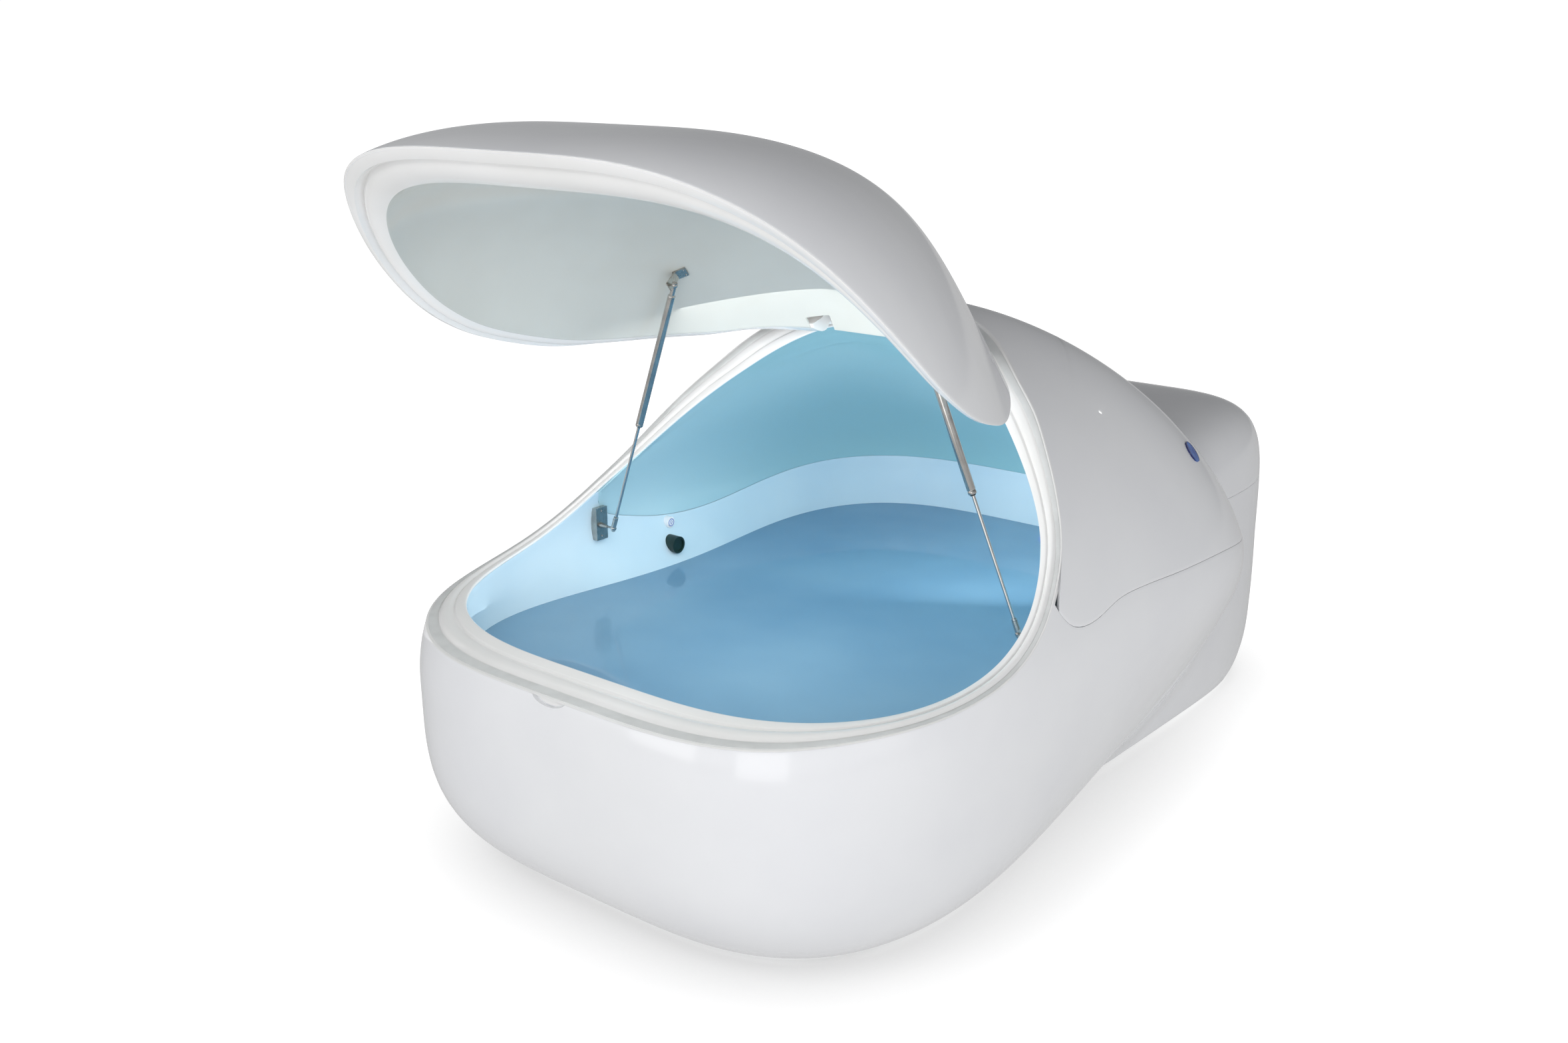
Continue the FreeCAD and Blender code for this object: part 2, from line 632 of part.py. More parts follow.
led, hole = rear_fitting(*LED_AT, LED_R, LED_OUT, LED_TAIL)
tub_liner = tub_liner.cut(hole)
add("led_rear", led)
for name, x, r in (("suction_fitting", -FITTING_X, SUCTION_R), ("return_fitting", FITTING_X, RETURN_R)):
    fitting, hole = rear_fitting(x, FITTING_Z, r, FITTING_OUT, FITTING_TAIL)
    tub_liner = tub_liner.cut(hole)
    add(name, fitting.cut(rod((x, 2000.0, FITTING_Z), (x, 2300.0, FITTING_Z), FITTING_BORE)))
dz = find(cavity, [0.0, DRAIN_Y, 100.0], 2)


def drain_rod(above, below, r):
    return rod((0.0, DRAIN_Y, dz + above), (0.0, DRAIN_Y, dz - below), r)


drain = drain_rod(DRAIN_OUT, 80.0, DRAIN_R).common(tub_0)
drain = drain.fuse(drain_rod(DRAIN_OUT, DRAIN_DOWN, FITTING_TAIL[0]))
add("drain_fitting", drain.cut(drain_rod(10.0, 60.0, FITTING_BORE)))
tub_liner = tub_liner.cut(drain_rod(30.0, 60.0, FITTING_TAIL[0]))
mat = skin(lambda d: reach(cavity, d, -LINER - MAT_GAP)).cut(tub_out)
add("heater_mat", mat.common(block(*MAT)))

# ------------------------------------------------------------------ plant
TRAY = (-400.0, 400.0, 2280.0, 2680.0, 100.0)
TRAY_T = 8.0
DECK = TRAY[4] + TRAY_T
PIPE_R = 19.0
FILTER_AT = (250.0, 2470.0)
FILTER_R = 105.0
FILTER_WALL = 7.0
FILTER_TOP = 560.0
FILTER_FLOOR = 8.0
CAP = (112.0, 18.0)                    # filter lid radius, height
KNOB = (40.0, 26.0)
CARTRIDGE = (62.0, 25.0, 540.0)        # radius, bore, top
PUMP_X = -60.0
PUMP_Z = 195.0
PUMP_INLET = (24.0, 2300.0, 2320.0)
PUMP_HEAD = (72.0, 2320.0, 2390.0)
PUMP_MOTOR = (60.0, 2390.0, 2600.0)
PUMP_FOOT = (-120.0, 0.0, 2340.0, 2580.0)
PUMP_FOOT_TOP = 150.0
OUTLET = (2355.0, 280.0)
UV_AT = (-300.0, 2400.0)
UV_R = 40.0
UV_TOP = 600.0
CONTROL = (-390.0, -230.0, 2490.0, 2640.0)
CONTROL_TOP = 440.0
SUCTION_Y = 2270.0
PUMP_LINE = (2325.0, 340.0)            # y, z of the cross run to the filter
FILTER_LINE = (2450.0, 510.0)
RETURN_LINE = (2310.0, 430.0)
VALVE_Z = 290.0
VALVE_HALF = 35.0
VALVE_R = 27.0
NECK_R = 11.0
NECK_BORE = 24.0
NECK_L = 36.0
LEVER = (0.4, 6.4)                     # beyond the neck
LEVER_R = 12.0
LEVER_HALF = 8.0
LEVER_L = 90.0


def upright(at, z0, z1, r):
    return rod((at[0], at[1], z0), (at[0], at[1], z1), r)


def pump_rod(r, y0, y1):
    return rod((PUMP_X, y0, PUMP_Z), (PUMP_X, y1, PUMP_Z), r)


add("plant_tray", block(*TRAY, DECK))
fx, fy = FILTER_AT
house = upright(FILTER_AT, DECK, FILTER_TOP, FILTER_R)
house = house.cut(upright(FILTER_AT, DECK + FILTER_FLOOR, FILTER_TOP + 10.0, FILTER_R - FILTER_WALL))
cap_top = FILTER_TOP + CAP[1]
filter_lid = upright(FILTER_AT, FILTER_TOP, cap_top, CAP[0])
add("filter_lid", filter_lid.fuse(upright(FILTER_AT, cap_top, cap_top + KNOB[1], KNOB[0])))
cartridge = upright(FILTER_AT, DECK + FILTER_FLOOR, CARTRIDGE[2], CARTRIDGE[0])
add("filter_cartridge", cartridge.cut(upright(FILTER_AT, DECK, FILTER_TOP, CARTRIDGE[1])))
pump = pump_rod(*PUMP_HEAD).fuse(pump_rod(*PUMP_MOTOR)).fuse(pump_rod(*PUMP_INLET))
pump = pump.fuse(block(*PUMP_FOOT, DECK, PUMP_FOOT_TOP))
add("pump", pump.fuse(upright((PUMP_X, OUTLET[0]), PUMP_Z, OUTLET[1], PUMP_INLET[0])))
uv = upright(UV_AT, DECK, UV_TOP, UV_R)
add("uv_unit", uv)
add("control_box", block(*CONTROL, DECK, CONTROL_TOP))

y, z = PUMP_LINE
entry = (fx, fy - FILTER_R + FILTER_WALL, z)
add("pipe_pump", pipe([(PUMP_X, *OUTLET), (PUMP_X, OUTLET[0], z), (PUMP_X, y, z), (fx, y, z), entry], PIPE_R))
house = house.cut(rod((fx, y + 5.0, z), entry, PIPE_R))
y, z = FILTER_LINE
leave = (fx - 90.0, y, z)
add("pipe_filter", pipe([leave, (UV_AT[0], y, z), (UV_AT[0], UV_AT[1] + 30.0, z)], PIPE_R).cut(uv))
add("filter_housing", house.cut(rod(leave, (leave[0] - 60.0, y, z), PIPE_R)))
y, z = RETURN_LINE
end = (FITTING_X, y, FITTING_Z)
back_run = [(UV_AT[0], UV_AT[1] - 30.0, z), (UV_AT[0], y, z), (FITTING_X, y, z), end]
add("pipe_return", pipe(back_run + [(FITTING_X, FITTING_TAIL[1], FITTING_Z)], PIPE_R).cut(uv))
x, y = -FITTING_X, SUCTION_Y
run_down = [(x, FITTING_TAIL[1], FITTING_Z), (x, y, FITTING_Z), (x, y, PUMP_Z)]
add("pipe_suction", pipe(run_down + [(PUMP_X, y, PUMP_Z), (PUMP_X, PUMP_INLET[1], PUMP_Z)], PIPE_R))

valve_z = (VALVE_Z - VALVE_HALF, VALVE_Z + VALVE_HALF)
neck_end = y + NECK_L
neck = rod((x, y, VALVE_Z), (x, neck_end, VALVE_Z), NECK_R).cut(upright((x, y), *valve_z, NECK_BORE))
valve = upright((x, y), *valve_z, VALVE_R).cut(upright((x, y), *valve_z, PIPE_R))
add("valve_suction", valve.fuse(neck))
lever_y = (neck_end + LEVER[0], neck_end + LEVER[1])
hub = rod((x, lever_y[0], VALVE_Z), (x, lever_y[1], VALVE_Z), LEVER_R)
handle = block(x - LEVER_HALF, x + LEVER_HALF, *lever_y, VALVE_Z, VALVE_Z + LEVER_L)
add("valve_suction_lever", hub.fuse(handle), "valve_suction_lever")

# ------------------------------------------------------------------ service panel and badge
PANEL_HALF = 300.0
PANEL_Z = (190.0, 560.0)
PANEL_GAP = 2.0
PANEL_FROM = 2500.0
BACK_T = 6.0
BACK_OUT = 30.0
PANEL_SCREW = (282.0, 375.0)
PANEL_SCREW_R = 9.0
PANEL_SCREW_Y = (-17.0, 3.0)
BADGE_AT = (1798.0, 973.0)
BADGE_SIZE = (33.0, 32.0)
BADGE_Z = (-15.0, 3.0)


def panel_block(grow):
    half = PANEL_HALF + grow
    return block(-half, half, PANEL_FROM, REAR, PANEL_Z[0] - grow, PANEL_Z[1] + grow)


panel = wall.common(panel_block(0.0))
body_shell = body_shell.cut(panel_block(PANEL_GAP))
backing = hull_in.cut(skin(lambda d: reach(hull, d, SHELL + BACK_T)))
backing = backing.common(panel_block(BACK_OUT)).cut(panel_block(-BACK_OUT))
for n, x in enumerate((-PANEL_SCREW[0], PANEL_SCREW[0])):
    z = PANEL_SCREW[1]
    y = find(hull, [x, 2900.0, z], 1)
    screw = rod((x, y + PANEL_SCREW_Y[0], z), (x, y + PANEL_SCREW_Y[1], z), PANEL_SCREW_R)
    panel = panel.cut(screw)
    backing = backing.cut(screw)
    add("panel_screw_%d" % (n + 1), screw)
add("service_panel", panel)
add("panel_frame", backing)

centre = V(find(hull, [900.0, *BADGE_AT], 0), *BADGE_AT)
outwards = facing(hull, centre)
stretch = FreeCAD.Matrix()
stretch.scale(*BADGE_SIZE, 1.0)
oval = Part.makeCylinder(1.0, BADGE_Z[1] - BADGE_Z[0], V(0, 0, BADGE_Z[0])).transformGeometry(stretch)
oval.Placement = FreeCAD.Placement(centre, FreeCAD.Rotation(V(0, 0, 1), outwards))
add("badge", max(oval.cut(hull_0).Solids, key=lambda s: (s.CenterOfMass - centre).dot(outwards)))

for node, shape, body in (("body_shell", body_shell, "base"), ("hood_shell", hood_shell, "base"),
                          ("rim_front", rim_front, "base"), ("rim_hood", rim_hood, "base"),
                          ("rim_gasket", gasket, "base"), ("tub_liner", tub_liner, "base"),
                          ("hood_liner", hood_liner, "base"), ("lid_shell", lid_shell, "lid"),
                          ("lid_rim", lid_rim, "lid"), ("lid_liner", lid_liner, "lid")):
    add(node, shape, body)

for node, shape in parts.items():
    if bodies[node] == "lid":
        shape.rotate(V(0, HINGE_Y, HINGE_Z), V(1, 0, 0), -LID_OPEN)
    shape.translate(V(0, -ORIGIN_Y, 0))
    shape.exportStep("parts/%s.step" % node)
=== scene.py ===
"""Looks of a float pod: a white egg with a hinged lid, a shallow tub, gas struts and a plant box."""

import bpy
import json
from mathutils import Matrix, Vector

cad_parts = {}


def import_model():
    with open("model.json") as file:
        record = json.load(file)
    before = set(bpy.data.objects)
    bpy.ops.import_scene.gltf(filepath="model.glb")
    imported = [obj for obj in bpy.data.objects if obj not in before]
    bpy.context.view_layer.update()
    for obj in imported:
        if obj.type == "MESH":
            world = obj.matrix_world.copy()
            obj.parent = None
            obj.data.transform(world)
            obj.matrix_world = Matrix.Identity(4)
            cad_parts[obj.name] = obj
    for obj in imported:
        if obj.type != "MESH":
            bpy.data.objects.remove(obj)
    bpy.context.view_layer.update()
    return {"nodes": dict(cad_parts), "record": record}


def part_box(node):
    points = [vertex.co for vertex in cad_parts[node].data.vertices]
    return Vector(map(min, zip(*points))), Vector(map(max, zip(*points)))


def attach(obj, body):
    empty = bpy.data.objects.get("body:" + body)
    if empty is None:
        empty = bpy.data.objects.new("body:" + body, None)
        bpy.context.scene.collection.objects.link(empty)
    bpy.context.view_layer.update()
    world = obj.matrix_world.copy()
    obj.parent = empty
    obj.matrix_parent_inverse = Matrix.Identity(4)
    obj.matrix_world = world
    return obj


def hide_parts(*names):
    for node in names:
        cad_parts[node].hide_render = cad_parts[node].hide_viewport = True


bl_info = {
    "name": "Float pod",
    "version": (1, 0, 0),
    "blender": (4, 5, 0),
    "location": "View3D > Sidebar > Float pod",
    "description": "Builds the finished surfaces of a float pod round its packed mechanical parts",
    "category": "Object",
}

import json
import math

import bmesh
import bpy
import numpy as np
from mathutils import Vector

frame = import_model()
RECORD = frame["record"]
HINGE = next(j for j in RECORD["behaviour"]["joints"] if j["name"] == "lid_hinge")
LID_TURN = math.radians(HINGE["range_deg"][1])
HINGE_AT = Vector(HINGE["pos_m"])

MM = 0.001
ORIGIN_Y = 1393.2          # mm from the front of the rim to the row's origin
CENTRE = np.array((0.0, 1300.0, 560.0))

# side-view curves in mm, y from the front of the rim: the lid's parting, and the moulding seams
ROLL = [(HINGE_AT.y * 1000 + ORIGIN_Y + 80.0 * math.cos(a), HINGE_AT.z * 1000 + 80.0 * math.sin(a))
        for a in np.radians((-40, -20, 0, 20, 40))]
PARTING = [(-400, 632), (-200, 638), (0, 644), (152, 659), (335, 670), (532, 690), (620, 708),
           (696, 733), (765, 765), (825, 802), (880, 842), (933, 885), (980, 930), (1021, 979),
           (1058, 1029), (1094, 1081), (1130, 1132), (1166, 1185), (1194, 1240), (1227, 1286)] + ROLL
SEAM = [(848, 900), (849, 850), (856, 800), (872, 765), (897, 741), (930, 729), (975, 725), (1040, 731),
        (1120, 745), (1216, 748), (1458, 735), (1792, 716), (1994, 692), (2400, 674), (3100, 668)]
LINER_SEAM = [(852, 900), (854, 850), (862, 790), (880, 748), (915, 720), (961, 704), (1099, 671),
              (1291, 651), (1512, 657), (1731, 677), (1911, 690), (2190, 694), (2600, 700)]
SEAM_GAP = 0.8             # as the finished mouldings meet

# outer hull (egg), mm
HULL_HALF_WIDTH = 876.2
HULL_MID_Y = 1118.0
HULL_LENGTHS = (1173.1, 1083.6)     # from the middle forward and back
HULL_MID_Z = 469.7
HULL_HEIGHTS = (962.6, 565.2)       # from the middle up and down
WAIST_Y = 1455.4
WAIST_SOFT = 436.5
WAIST_DEPTH = 0.587
WAIST_Z = 693.6
# plant box behind the hull
BOX_HALF_WIDTH = 560.0
BOX_MID_Y = 1960.0
BOX_REAR = 940.4
BOX_FRONT = 504.0
BOX_MID_Z = 504.0
BOX_TOP = 423.8
BOX_LOW = 627.3
BOX_BLEND = 174.5
BOX_POWER = 5
BOX_AT = (2240.0, 560.0)            # y, z where the box sizes hold
BOX_WIDER = (0.0000149, -0.0001250)
BOX_HIGHER = 0.0001692
BOX_LONGER = 0.0001702
# inner cavity
TUB_HALF_WIDTH = 809.6
TUB_MID_Y = 1007.4
TUB_LENGTHS = (904.3, 1187.4)
TUB_MID_Z = 631.2
TUB_HEIGHTS = (717.7, 381.0)
TUB_WAIST = 0.250
TUB_WAIST_AT = (1129.9, 544.2)
TUB_WAIST_RUN = (616.0, 89.6)
# how square each form is: plan front and rear, then crown front, crown rear and keel
HULL_POWERS = (2.97, 4.50), (1.44, 1.57, 2.90)
TUB_POWERS = (2.97, 3.46), (1.25, 1.38, 3.96)
MIDDLE_RUN = 179.2                  # length over which front turns into rear
SOFT = 0.15                         # rounding of the middle lines


# ------------------------------------------------------------------ rules of the two forms, in mm
def soft(t):
    """|t| with its corner at 0 rounded, still 1 at 1"""
    return (np.sqrt(t * t + SOFT ** 2) - SOFT) / (math.sqrt(1.0 + SOFT ** 2) - SOFT)


def superegg(p, half, mid, lengths, level, heights, plan_powers, side_powers):
    """1 on an egg's surface and less inside it"""
    x, y, z = p[..., 0], p[..., 1], p[..., 2]
    rear = 1.0 / (1.0 + np.exp(-np.clip((y - mid) / MIDDLE_RUN, -30.0, 30.0)))
    n = plan_powers[0] + (plan_powers[1] - plan_powers[0]) * rear
    q = np.where(z > level, side_powers[0] + (side_powers[1] - side_powers[0]) * rear, side_powers[2])
    length = np.where(y < mid, lengths[0], lengths[1])
    height = np.where(z > level, heights[0], heights[1])
    plan = (soft(x / half) ** n + soft((y - mid) / length) ** n) ** (1.0 / n)
    return (plan ** q + soft((z - level) / height) ** q) ** (1.0 / q)


def hull(p):
    """negative inside the pod's outer form: an egg, run into the plant box behind it"""
    x, y, z = p[..., 0], p[..., 1], p[..., 2]
    side = 1.0 / (1.0 + np.exp(-(y - WAIST_Y) / WAIST_SOFT))
    low = np.clip((WAIST_Z - z) / WAIST_Z, 0.0, 1.2)
    half = HULL_HALF_WIDTH * (1.0 - WAIST_DEPTH * side * low ** 1.5)
    egg = (superegg(p, half, HULL_MID_Y, HULL_LENGTHS, HULL_MID_Z, HULL_HEIGHTS,
                    *HULL_POWERS) - 1.0) * HULL_HALF_WIDTH
    back, up = y - BOX_AT[0], z - BOX_AT[1]
    w = BOX_HALF_WIDTH * (1.0 + BOX_WIDER[0] * back + BOX_WIDER[1] * up)
    t = np.where(z > BOX_MID_Z, BOX_TOP * (1.0 + BOX_HIGHER * back), BOX_LOW)
    r = np.where(y > BOX_MID_Y, BOX_REAR * (1.0 + BOX_LONGER * up), BOX_FRONT)
    plan = (np.abs(x / w) ** BOX_POWER + np.abs((y - BOX_MID_Y) / r) ** BOX_POWER) ** (1.0 / BOX_POWER)
    box = (plan ** BOX_POWER + np.abs((z - BOX_MID_Z) / t) ** BOX_POWER) ** (1.0 / BOX_POWER)
    box = (box - 1.0) * BOX_HALF_WIDTH
    h = np.clip(0.5 + 0.5 * (box - egg) / BOX_BLEND, 0.0, 1.0)
    return box * (1.0 - h) + egg * h - BOX_BLEND * h * (1.0 - h)


def cavity(p):
    """negative inside the space for water and air"""
    along = (p[..., 1] - TUB_WAIST_AT[0]) / TUB_WAIST_RUN[0]
    above = (p[..., 2] - TUB_WAIST_AT[1]) / TUB_WAIST_RUN[1]
    half = TUB_HALF_WIDTH * (1.0 - TUB_WAIST * np.exp(-along ** 2) / (1.0 + np.exp(above)))
    return (superegg(p, half, TUB_MID_Y, TUB_LENGTHS, TUB_MID_Z, TUB_HEIGHTS,
                     *TUB_POWERS) - 1.0) * TUB_HALF_WIDTH


def reach(rule, d, start=CENTRE, far=2600.0):
    """points where the rays start + t d leave the rule's form"""
    lo = np.zeros(d.shape[:-1])
    hi = np.full(d.shape[:-1], far)
    for _ in range(30):
        m = 0.5 * (lo + hi)
        inside = rule(start + d * m[..., None]) < 0.0
        lo = np.where(inside, m, lo)
        hi = np.where(inside, hi, m)
    return start + d * lo[..., None]


def outward(rule, p):
    """unit normals of the rule's form at points p"""
    g = np.stack([rule(p + e) - rule(p - e) for e in np.eye(3)], -1)
    return g / np.linalg.norm(g, axis=-1, keepdims=True)


# ------------------------------------------------------------------ side-view curves
def side_curve(points, step=6.0):
    """natural cubic spline through (y, z) points, by chord length, as dense points"""
    p = np.array(points, float)
    t = np.concatenate([[0.0], np.cumsum(np.linalg.norm(np.diff(p, axis=0), axis=1))])
    n = len(p)
    h = np.diff(t)
    a = np.eye(n)
    b = np.zeros((n, 2))
    for i in range(1, n - 1):
        a[i, i - 1:i + 2] = (h[i - 1], 2.0 * (h[i - 1] + h[i]), h[i])
        b[i] = 6.0 * ((p[i + 1] - p[i]) / h[i] - (p[i] - p[i - 1]) / h[i - 1])
    m = np.linalg.solve(a, b)
    s = np.linspace(0.0, t[-1], int(t[-1] / step) + 2)
    i = np.clip(np.searchsorted(t, s, side="right") - 1, 0, n - 2)
    u, v = (s - t[i])[:, None], (t[i + 1] - s)[:, None]
    k = h[i][:, None]
    return (m[i] * v ** 3 + m[i + 1] * u ** 3) / (6.0 * k) + (p[i] / k - m[i] * k / 6.0) * v \
        + (p[i + 1] / k - m[i + 1] * k / 6.0) * u


class SideCurve:
    """a curve seen from the side: signed distance to it, and places along it"""

    def __init__(self, points):
        self.p = side_curve(points)
        run = np.diff(self.p, axis=0)
        length = np.linalg.norm(run, axis=1)
        self.s = np.concatenate([[0.0], np.cumsum(length)])
        tangent = np.gradient(self.p, axis=0)
        self.tangent = tangent / np.linalg.norm(tangent, axis=1, keepdims=True)
        self.run, self.length = run, length

    def off(self, p):
        """distance in mm from the curve, positive above and behind it or on the lid's side"""
        q = p[..., 1:3].reshape(-1, 2)
        out = np.empty(len(q))
        for k in range(0, len(q), 4000):
            c = q[k:k + 4000, None, :] - self.p[None, :-1]
            t = (c * self.run).sum(-1) / self.length ** 2
            t[:, 1:-1] = np.clip(t[:, 1:-1], 0.0, 1.0)
            t[:, 0] = np.minimum(t[:, 0], 1.0)
            t[:, -1] = np.maximum(t[:, -1], 0.0)
            away = c - t[..., None] * self.run
            j = np.argmin((away ** 2).sum(-1), axis=1)
            rows = np.arange(len(j))
            d, r = away[rows, j], self.run[j] / self.length[j][:, None]
            out[k:k + 4000] = d[:, 1] * r[:, 0] - d[:, 0] * r[:, 1]
        return out.reshape(p.shape[:-1])

    def at(self, s):
        """(y, z) points and unit normals at arc lengths s, run on straight past the ends"""
        t = np.clip(s, 0.0, self.s[-1])
        y, z = (np.interp(t, self.s, self.p[:, k]) for k in (0, 1))
        ty, tz = (np.interp(t, self.s, self.tangent[:, k]) for k in (0, 1))
        size = np.hypot(ty, tz)
        ty, tz = ty / size, tz / size
        return np.stack([y + (s - t) * ty, z + (s - t) * tz], -1), np.stack([-tz, ty], -1)


PART_LINE = SideCurve(PARTING)
SHELL_SEAM = SideCurve(SEAM)
TUB_SEAM = SideCurve(LINER_SEAM)


# ------------------------------------------------------------------ mesh helpers
def to_row(p, lid=False):
    """drawing millimetres to the row's metres, the lid turned to where it stands open"""
    q = np.array(p, float) * MM
    q[..., 1] -= ORIGIN_Y * MM
    if lid:
        c, s = math.cos(-LID_TURN), math.sin(-LID_TURN)
        y, z = q[..., 1] - HINGE_AT.y, q[..., 2] - HINGE_AT.z
        q[..., 1], q[..., 2] = HINGE_AT.y + c * y - s * z, HINGE_AT.z + s * y + c * z
    return q


def to_drawing(p):
    """the row's metres to drawing millimetres"""
    return np.array(p) / MM + (0.0, ORIGIN_Y, 0.0)


def new_object(name, points, faces, material, smooth=True):
    mesh = bpy.data.meshes.new(name)
    mesh.from_pydata([tuple(p) for p in points], [], faces)
    mesh.update()
    obj = bpy.data.objects.new(name, mesh)
    bpy.context.scene.collection.objects.link(obj)
    mesh.materials.append(material)
    if smooth:
        mesh.shade_smooth()
    return obj


def grid_faces(columns, rows):
    """quads of a grid stored column by column, its last column joined to its first"""
    out = []
    for i in range(columns):
        a, b = i * rows, ((i + 1) % columns) * rows
        for j in range(rows - 1):
            out.append((a + j, b + j, b + j + 1, a + j + 1))
    return out


def use(obj, *modifiers):
    """applies modifiers, given as (type, settings), to obj"""
    for kind, settings in modifiers:
        m = obj.modifiers.new(kind, kind)
        for key, value in settings.items():
            setattr(m, key, value)
    deps = bpy.context.evaluated_depsgraph_get()
    mesh = bpy.data.meshes.new_from_object(obj.evaluated_get(deps))
    obj.modifiers.clear()
    old = obj.data
    obj.data = mesh
    bpy.data.meshes.remove(old)
    return obj


def smooth_by_angle(obj, degrees=35.0):
    obj.data.shade_smooth()
    obj.data.set_sharp_from_angle(angle=math.radians(degrees))
    return obj


def face_out(obj):
    """turns every closed shell of obj to face outwards"""
    bm = bmesh.new()
    bm.from_mesh(obj.data)
    bmesh.ops.recalc_face_normals(bm, faces=bm.faces)
    bm.to_mesh(obj.data)
    bm.free()
    return obj


def thick(obj, wall, edge, side=-1.0, segments=3):
    """gives a sheet a wall, behind its faces at side -1 or before them at 1, and rounded edges; in metres"""
    use(obj, ("SOLIDIFY", {"thickness": wall, "offset": side, "use_even_offset": True,
                           "use_quality_normals": True}))
    face_out(obj)
    use(obj, ("BEVEL", {"width": edge, "segments": segments, "limit_method": "ANGLE",
                        "angle_limit": math.radians(55.0), "harden_normals": False}))
    return smooth_by_angle(obj)


def patch(rule, pole, keep, columns, rows, corners=(), start=CENTRE):
    """grid over the part of rule's form round the pole direction, out to where keep turns negative"""
    w = np.array(pole, float)
    w /= np.linalg.norm(w)
    u = np.cross((1.0, 0.0, 0.0), w)
    u /= np.linalg.norm(u)
    v = np.cross(w, u)
    psi = np.linspace(0.0, 2.0 * math.pi, columns, endpoint=False)
    for corner in corners:
        d = np.array(corner, float) - start
        a = math.atan2(d @ v, d @ u) % (2.0 * math.pi)
        psi[np.argmin(np.abs(psi - a))] = a
    side = np.cos(psi)[:, None] * u + np.sin(psi)[:, None] * v

    def at(alpha):
        sideways = side if alpha.ndim == 1 else side[:, None]
        return reach(rule, np.cos(alpha)[..., None] * w + np.sin(alpha)[..., None] * sideways, start)

    scan = np.linspace(0.0, math.pi * 0.98, 110)
    inside = keep(at(np.broadcast_to(scan, (columns, len(scan))))) > 0.0
    first = np.argmax(~inside, axis=1)
    lo, hi = scan[np.maximum(first - 1, 0)], scan[first]
    for _ in range(26):
        m = 0.5 * (lo + hi)
        good = keep(at(m)) > 0.0
        lo, hi = np.where(good, m, lo), np.where(good, hi, m)
    steps = np.linspace(0.0, 1.0, rows + 1)[1:]
    points = at(lo[:, None] * steps[None, :])
    return points, reach(rule, w[None], start)[0]


def patch_object(name, grid, material, lid=False, flip=False):
    points, pole = grid
    columns, rows = points.shape[:2]
    faces = grid_faces(columns, rows)
    cap = columns * rows
    faces += [(cap, ((i + 1) % columns) * rows, i * rows) for i in range(columns)]
    verts = np.concatenate([points.reshape(-1, 3), [pole]])
    if not flip:
        faces = [tuple(reversed(f)) for f in faces]
    return new_object(name, to_row(verts, lid), faces, material)


def fade(y):
    """1 along the low rim, 0 near the hinges, where the lid's lip may not overlap the rim"""
    t = np.clip((1100.0 - y) / 200.0, 0.0, 1.0)
    return t * t * (3.0 - 2.0 * t)


def lip(p, height, drop):
    """distance above the rim's edge curve, which stands height off the parting and dips by drop"""
    return PART_LINE.off(p) - height + drop * fade(p[..., 1])


def lofted(name, profile, material, columns=400, lid=False, middle=760.0):
    """closed ring swept round the parting line.
    profile holds (share of the way in, mm further in, height, how far that dips along the low rim)"""
    phi = np.linspace(0.0, 2.0 * math.pi, columns, endpoint=False)
    rising = PART_LINE.p[:, 0] < 1200.0
    s0 = np.interp(middle, PART_LINE.p[rising, 0], PART_LINE.s[rising])
    across, along = np.sin(phi), -np.cos(phi)

    def sheet(r, height, drop):
        yz, n = PART_LINE.at(s0 + along * r)
        yz = yz + n * (height - drop * fade(yz[:, 0]))[:, None]
        return np.stack([across * r, yz[:, 0], yz[:, 1]], -1)

    def edge(rule, height, drop):
        lo, hi = np.zeros(columns), np.full(columns, 1500.0)
        for _ in range(30):
            m = 0.5 * (lo + hi)
            good = rule(sheet(m, height, drop)) < 0.0
            lo, hi = np.where(good, m, lo), np.where(good, hi, m)
        return lo

    rings = []
    for share, inset, height, drop in profile:
        outer = edge(hull, height, drop)
        r = outer + (edge(cavity, height, drop) - outer) * share - inset
        rings.append(sheet(r, height, drop))
    rows = len(profile)
    faces = []
    for i in range(columns):
        k = (i + 1) % columns
        for j in range(rows):
            n = (j + 1) % rows
            faces.append((i * rows + j, k * rows + j, k * rows + n, i * rows + n))
    obj = new_object(name, to_row(np.stack(rings, 1).reshape(-1, 3), lid), faces, material)
    return smooth_by_angle(face_out(obj), 40.0)


def arc(share, inset, height, drop, r, start, end, steps=5):
    """profile points on a rounded edge round (share, inset, height), from start to end in degrees.
    At 0 the point lies inwards of the centre and at 90 above it."""
    return [(share, inset + r * math.cos(math.radians(a)), height + r * math.sin(math.radians(a)), drop)
            for a in np.linspace(start, end, steps)]


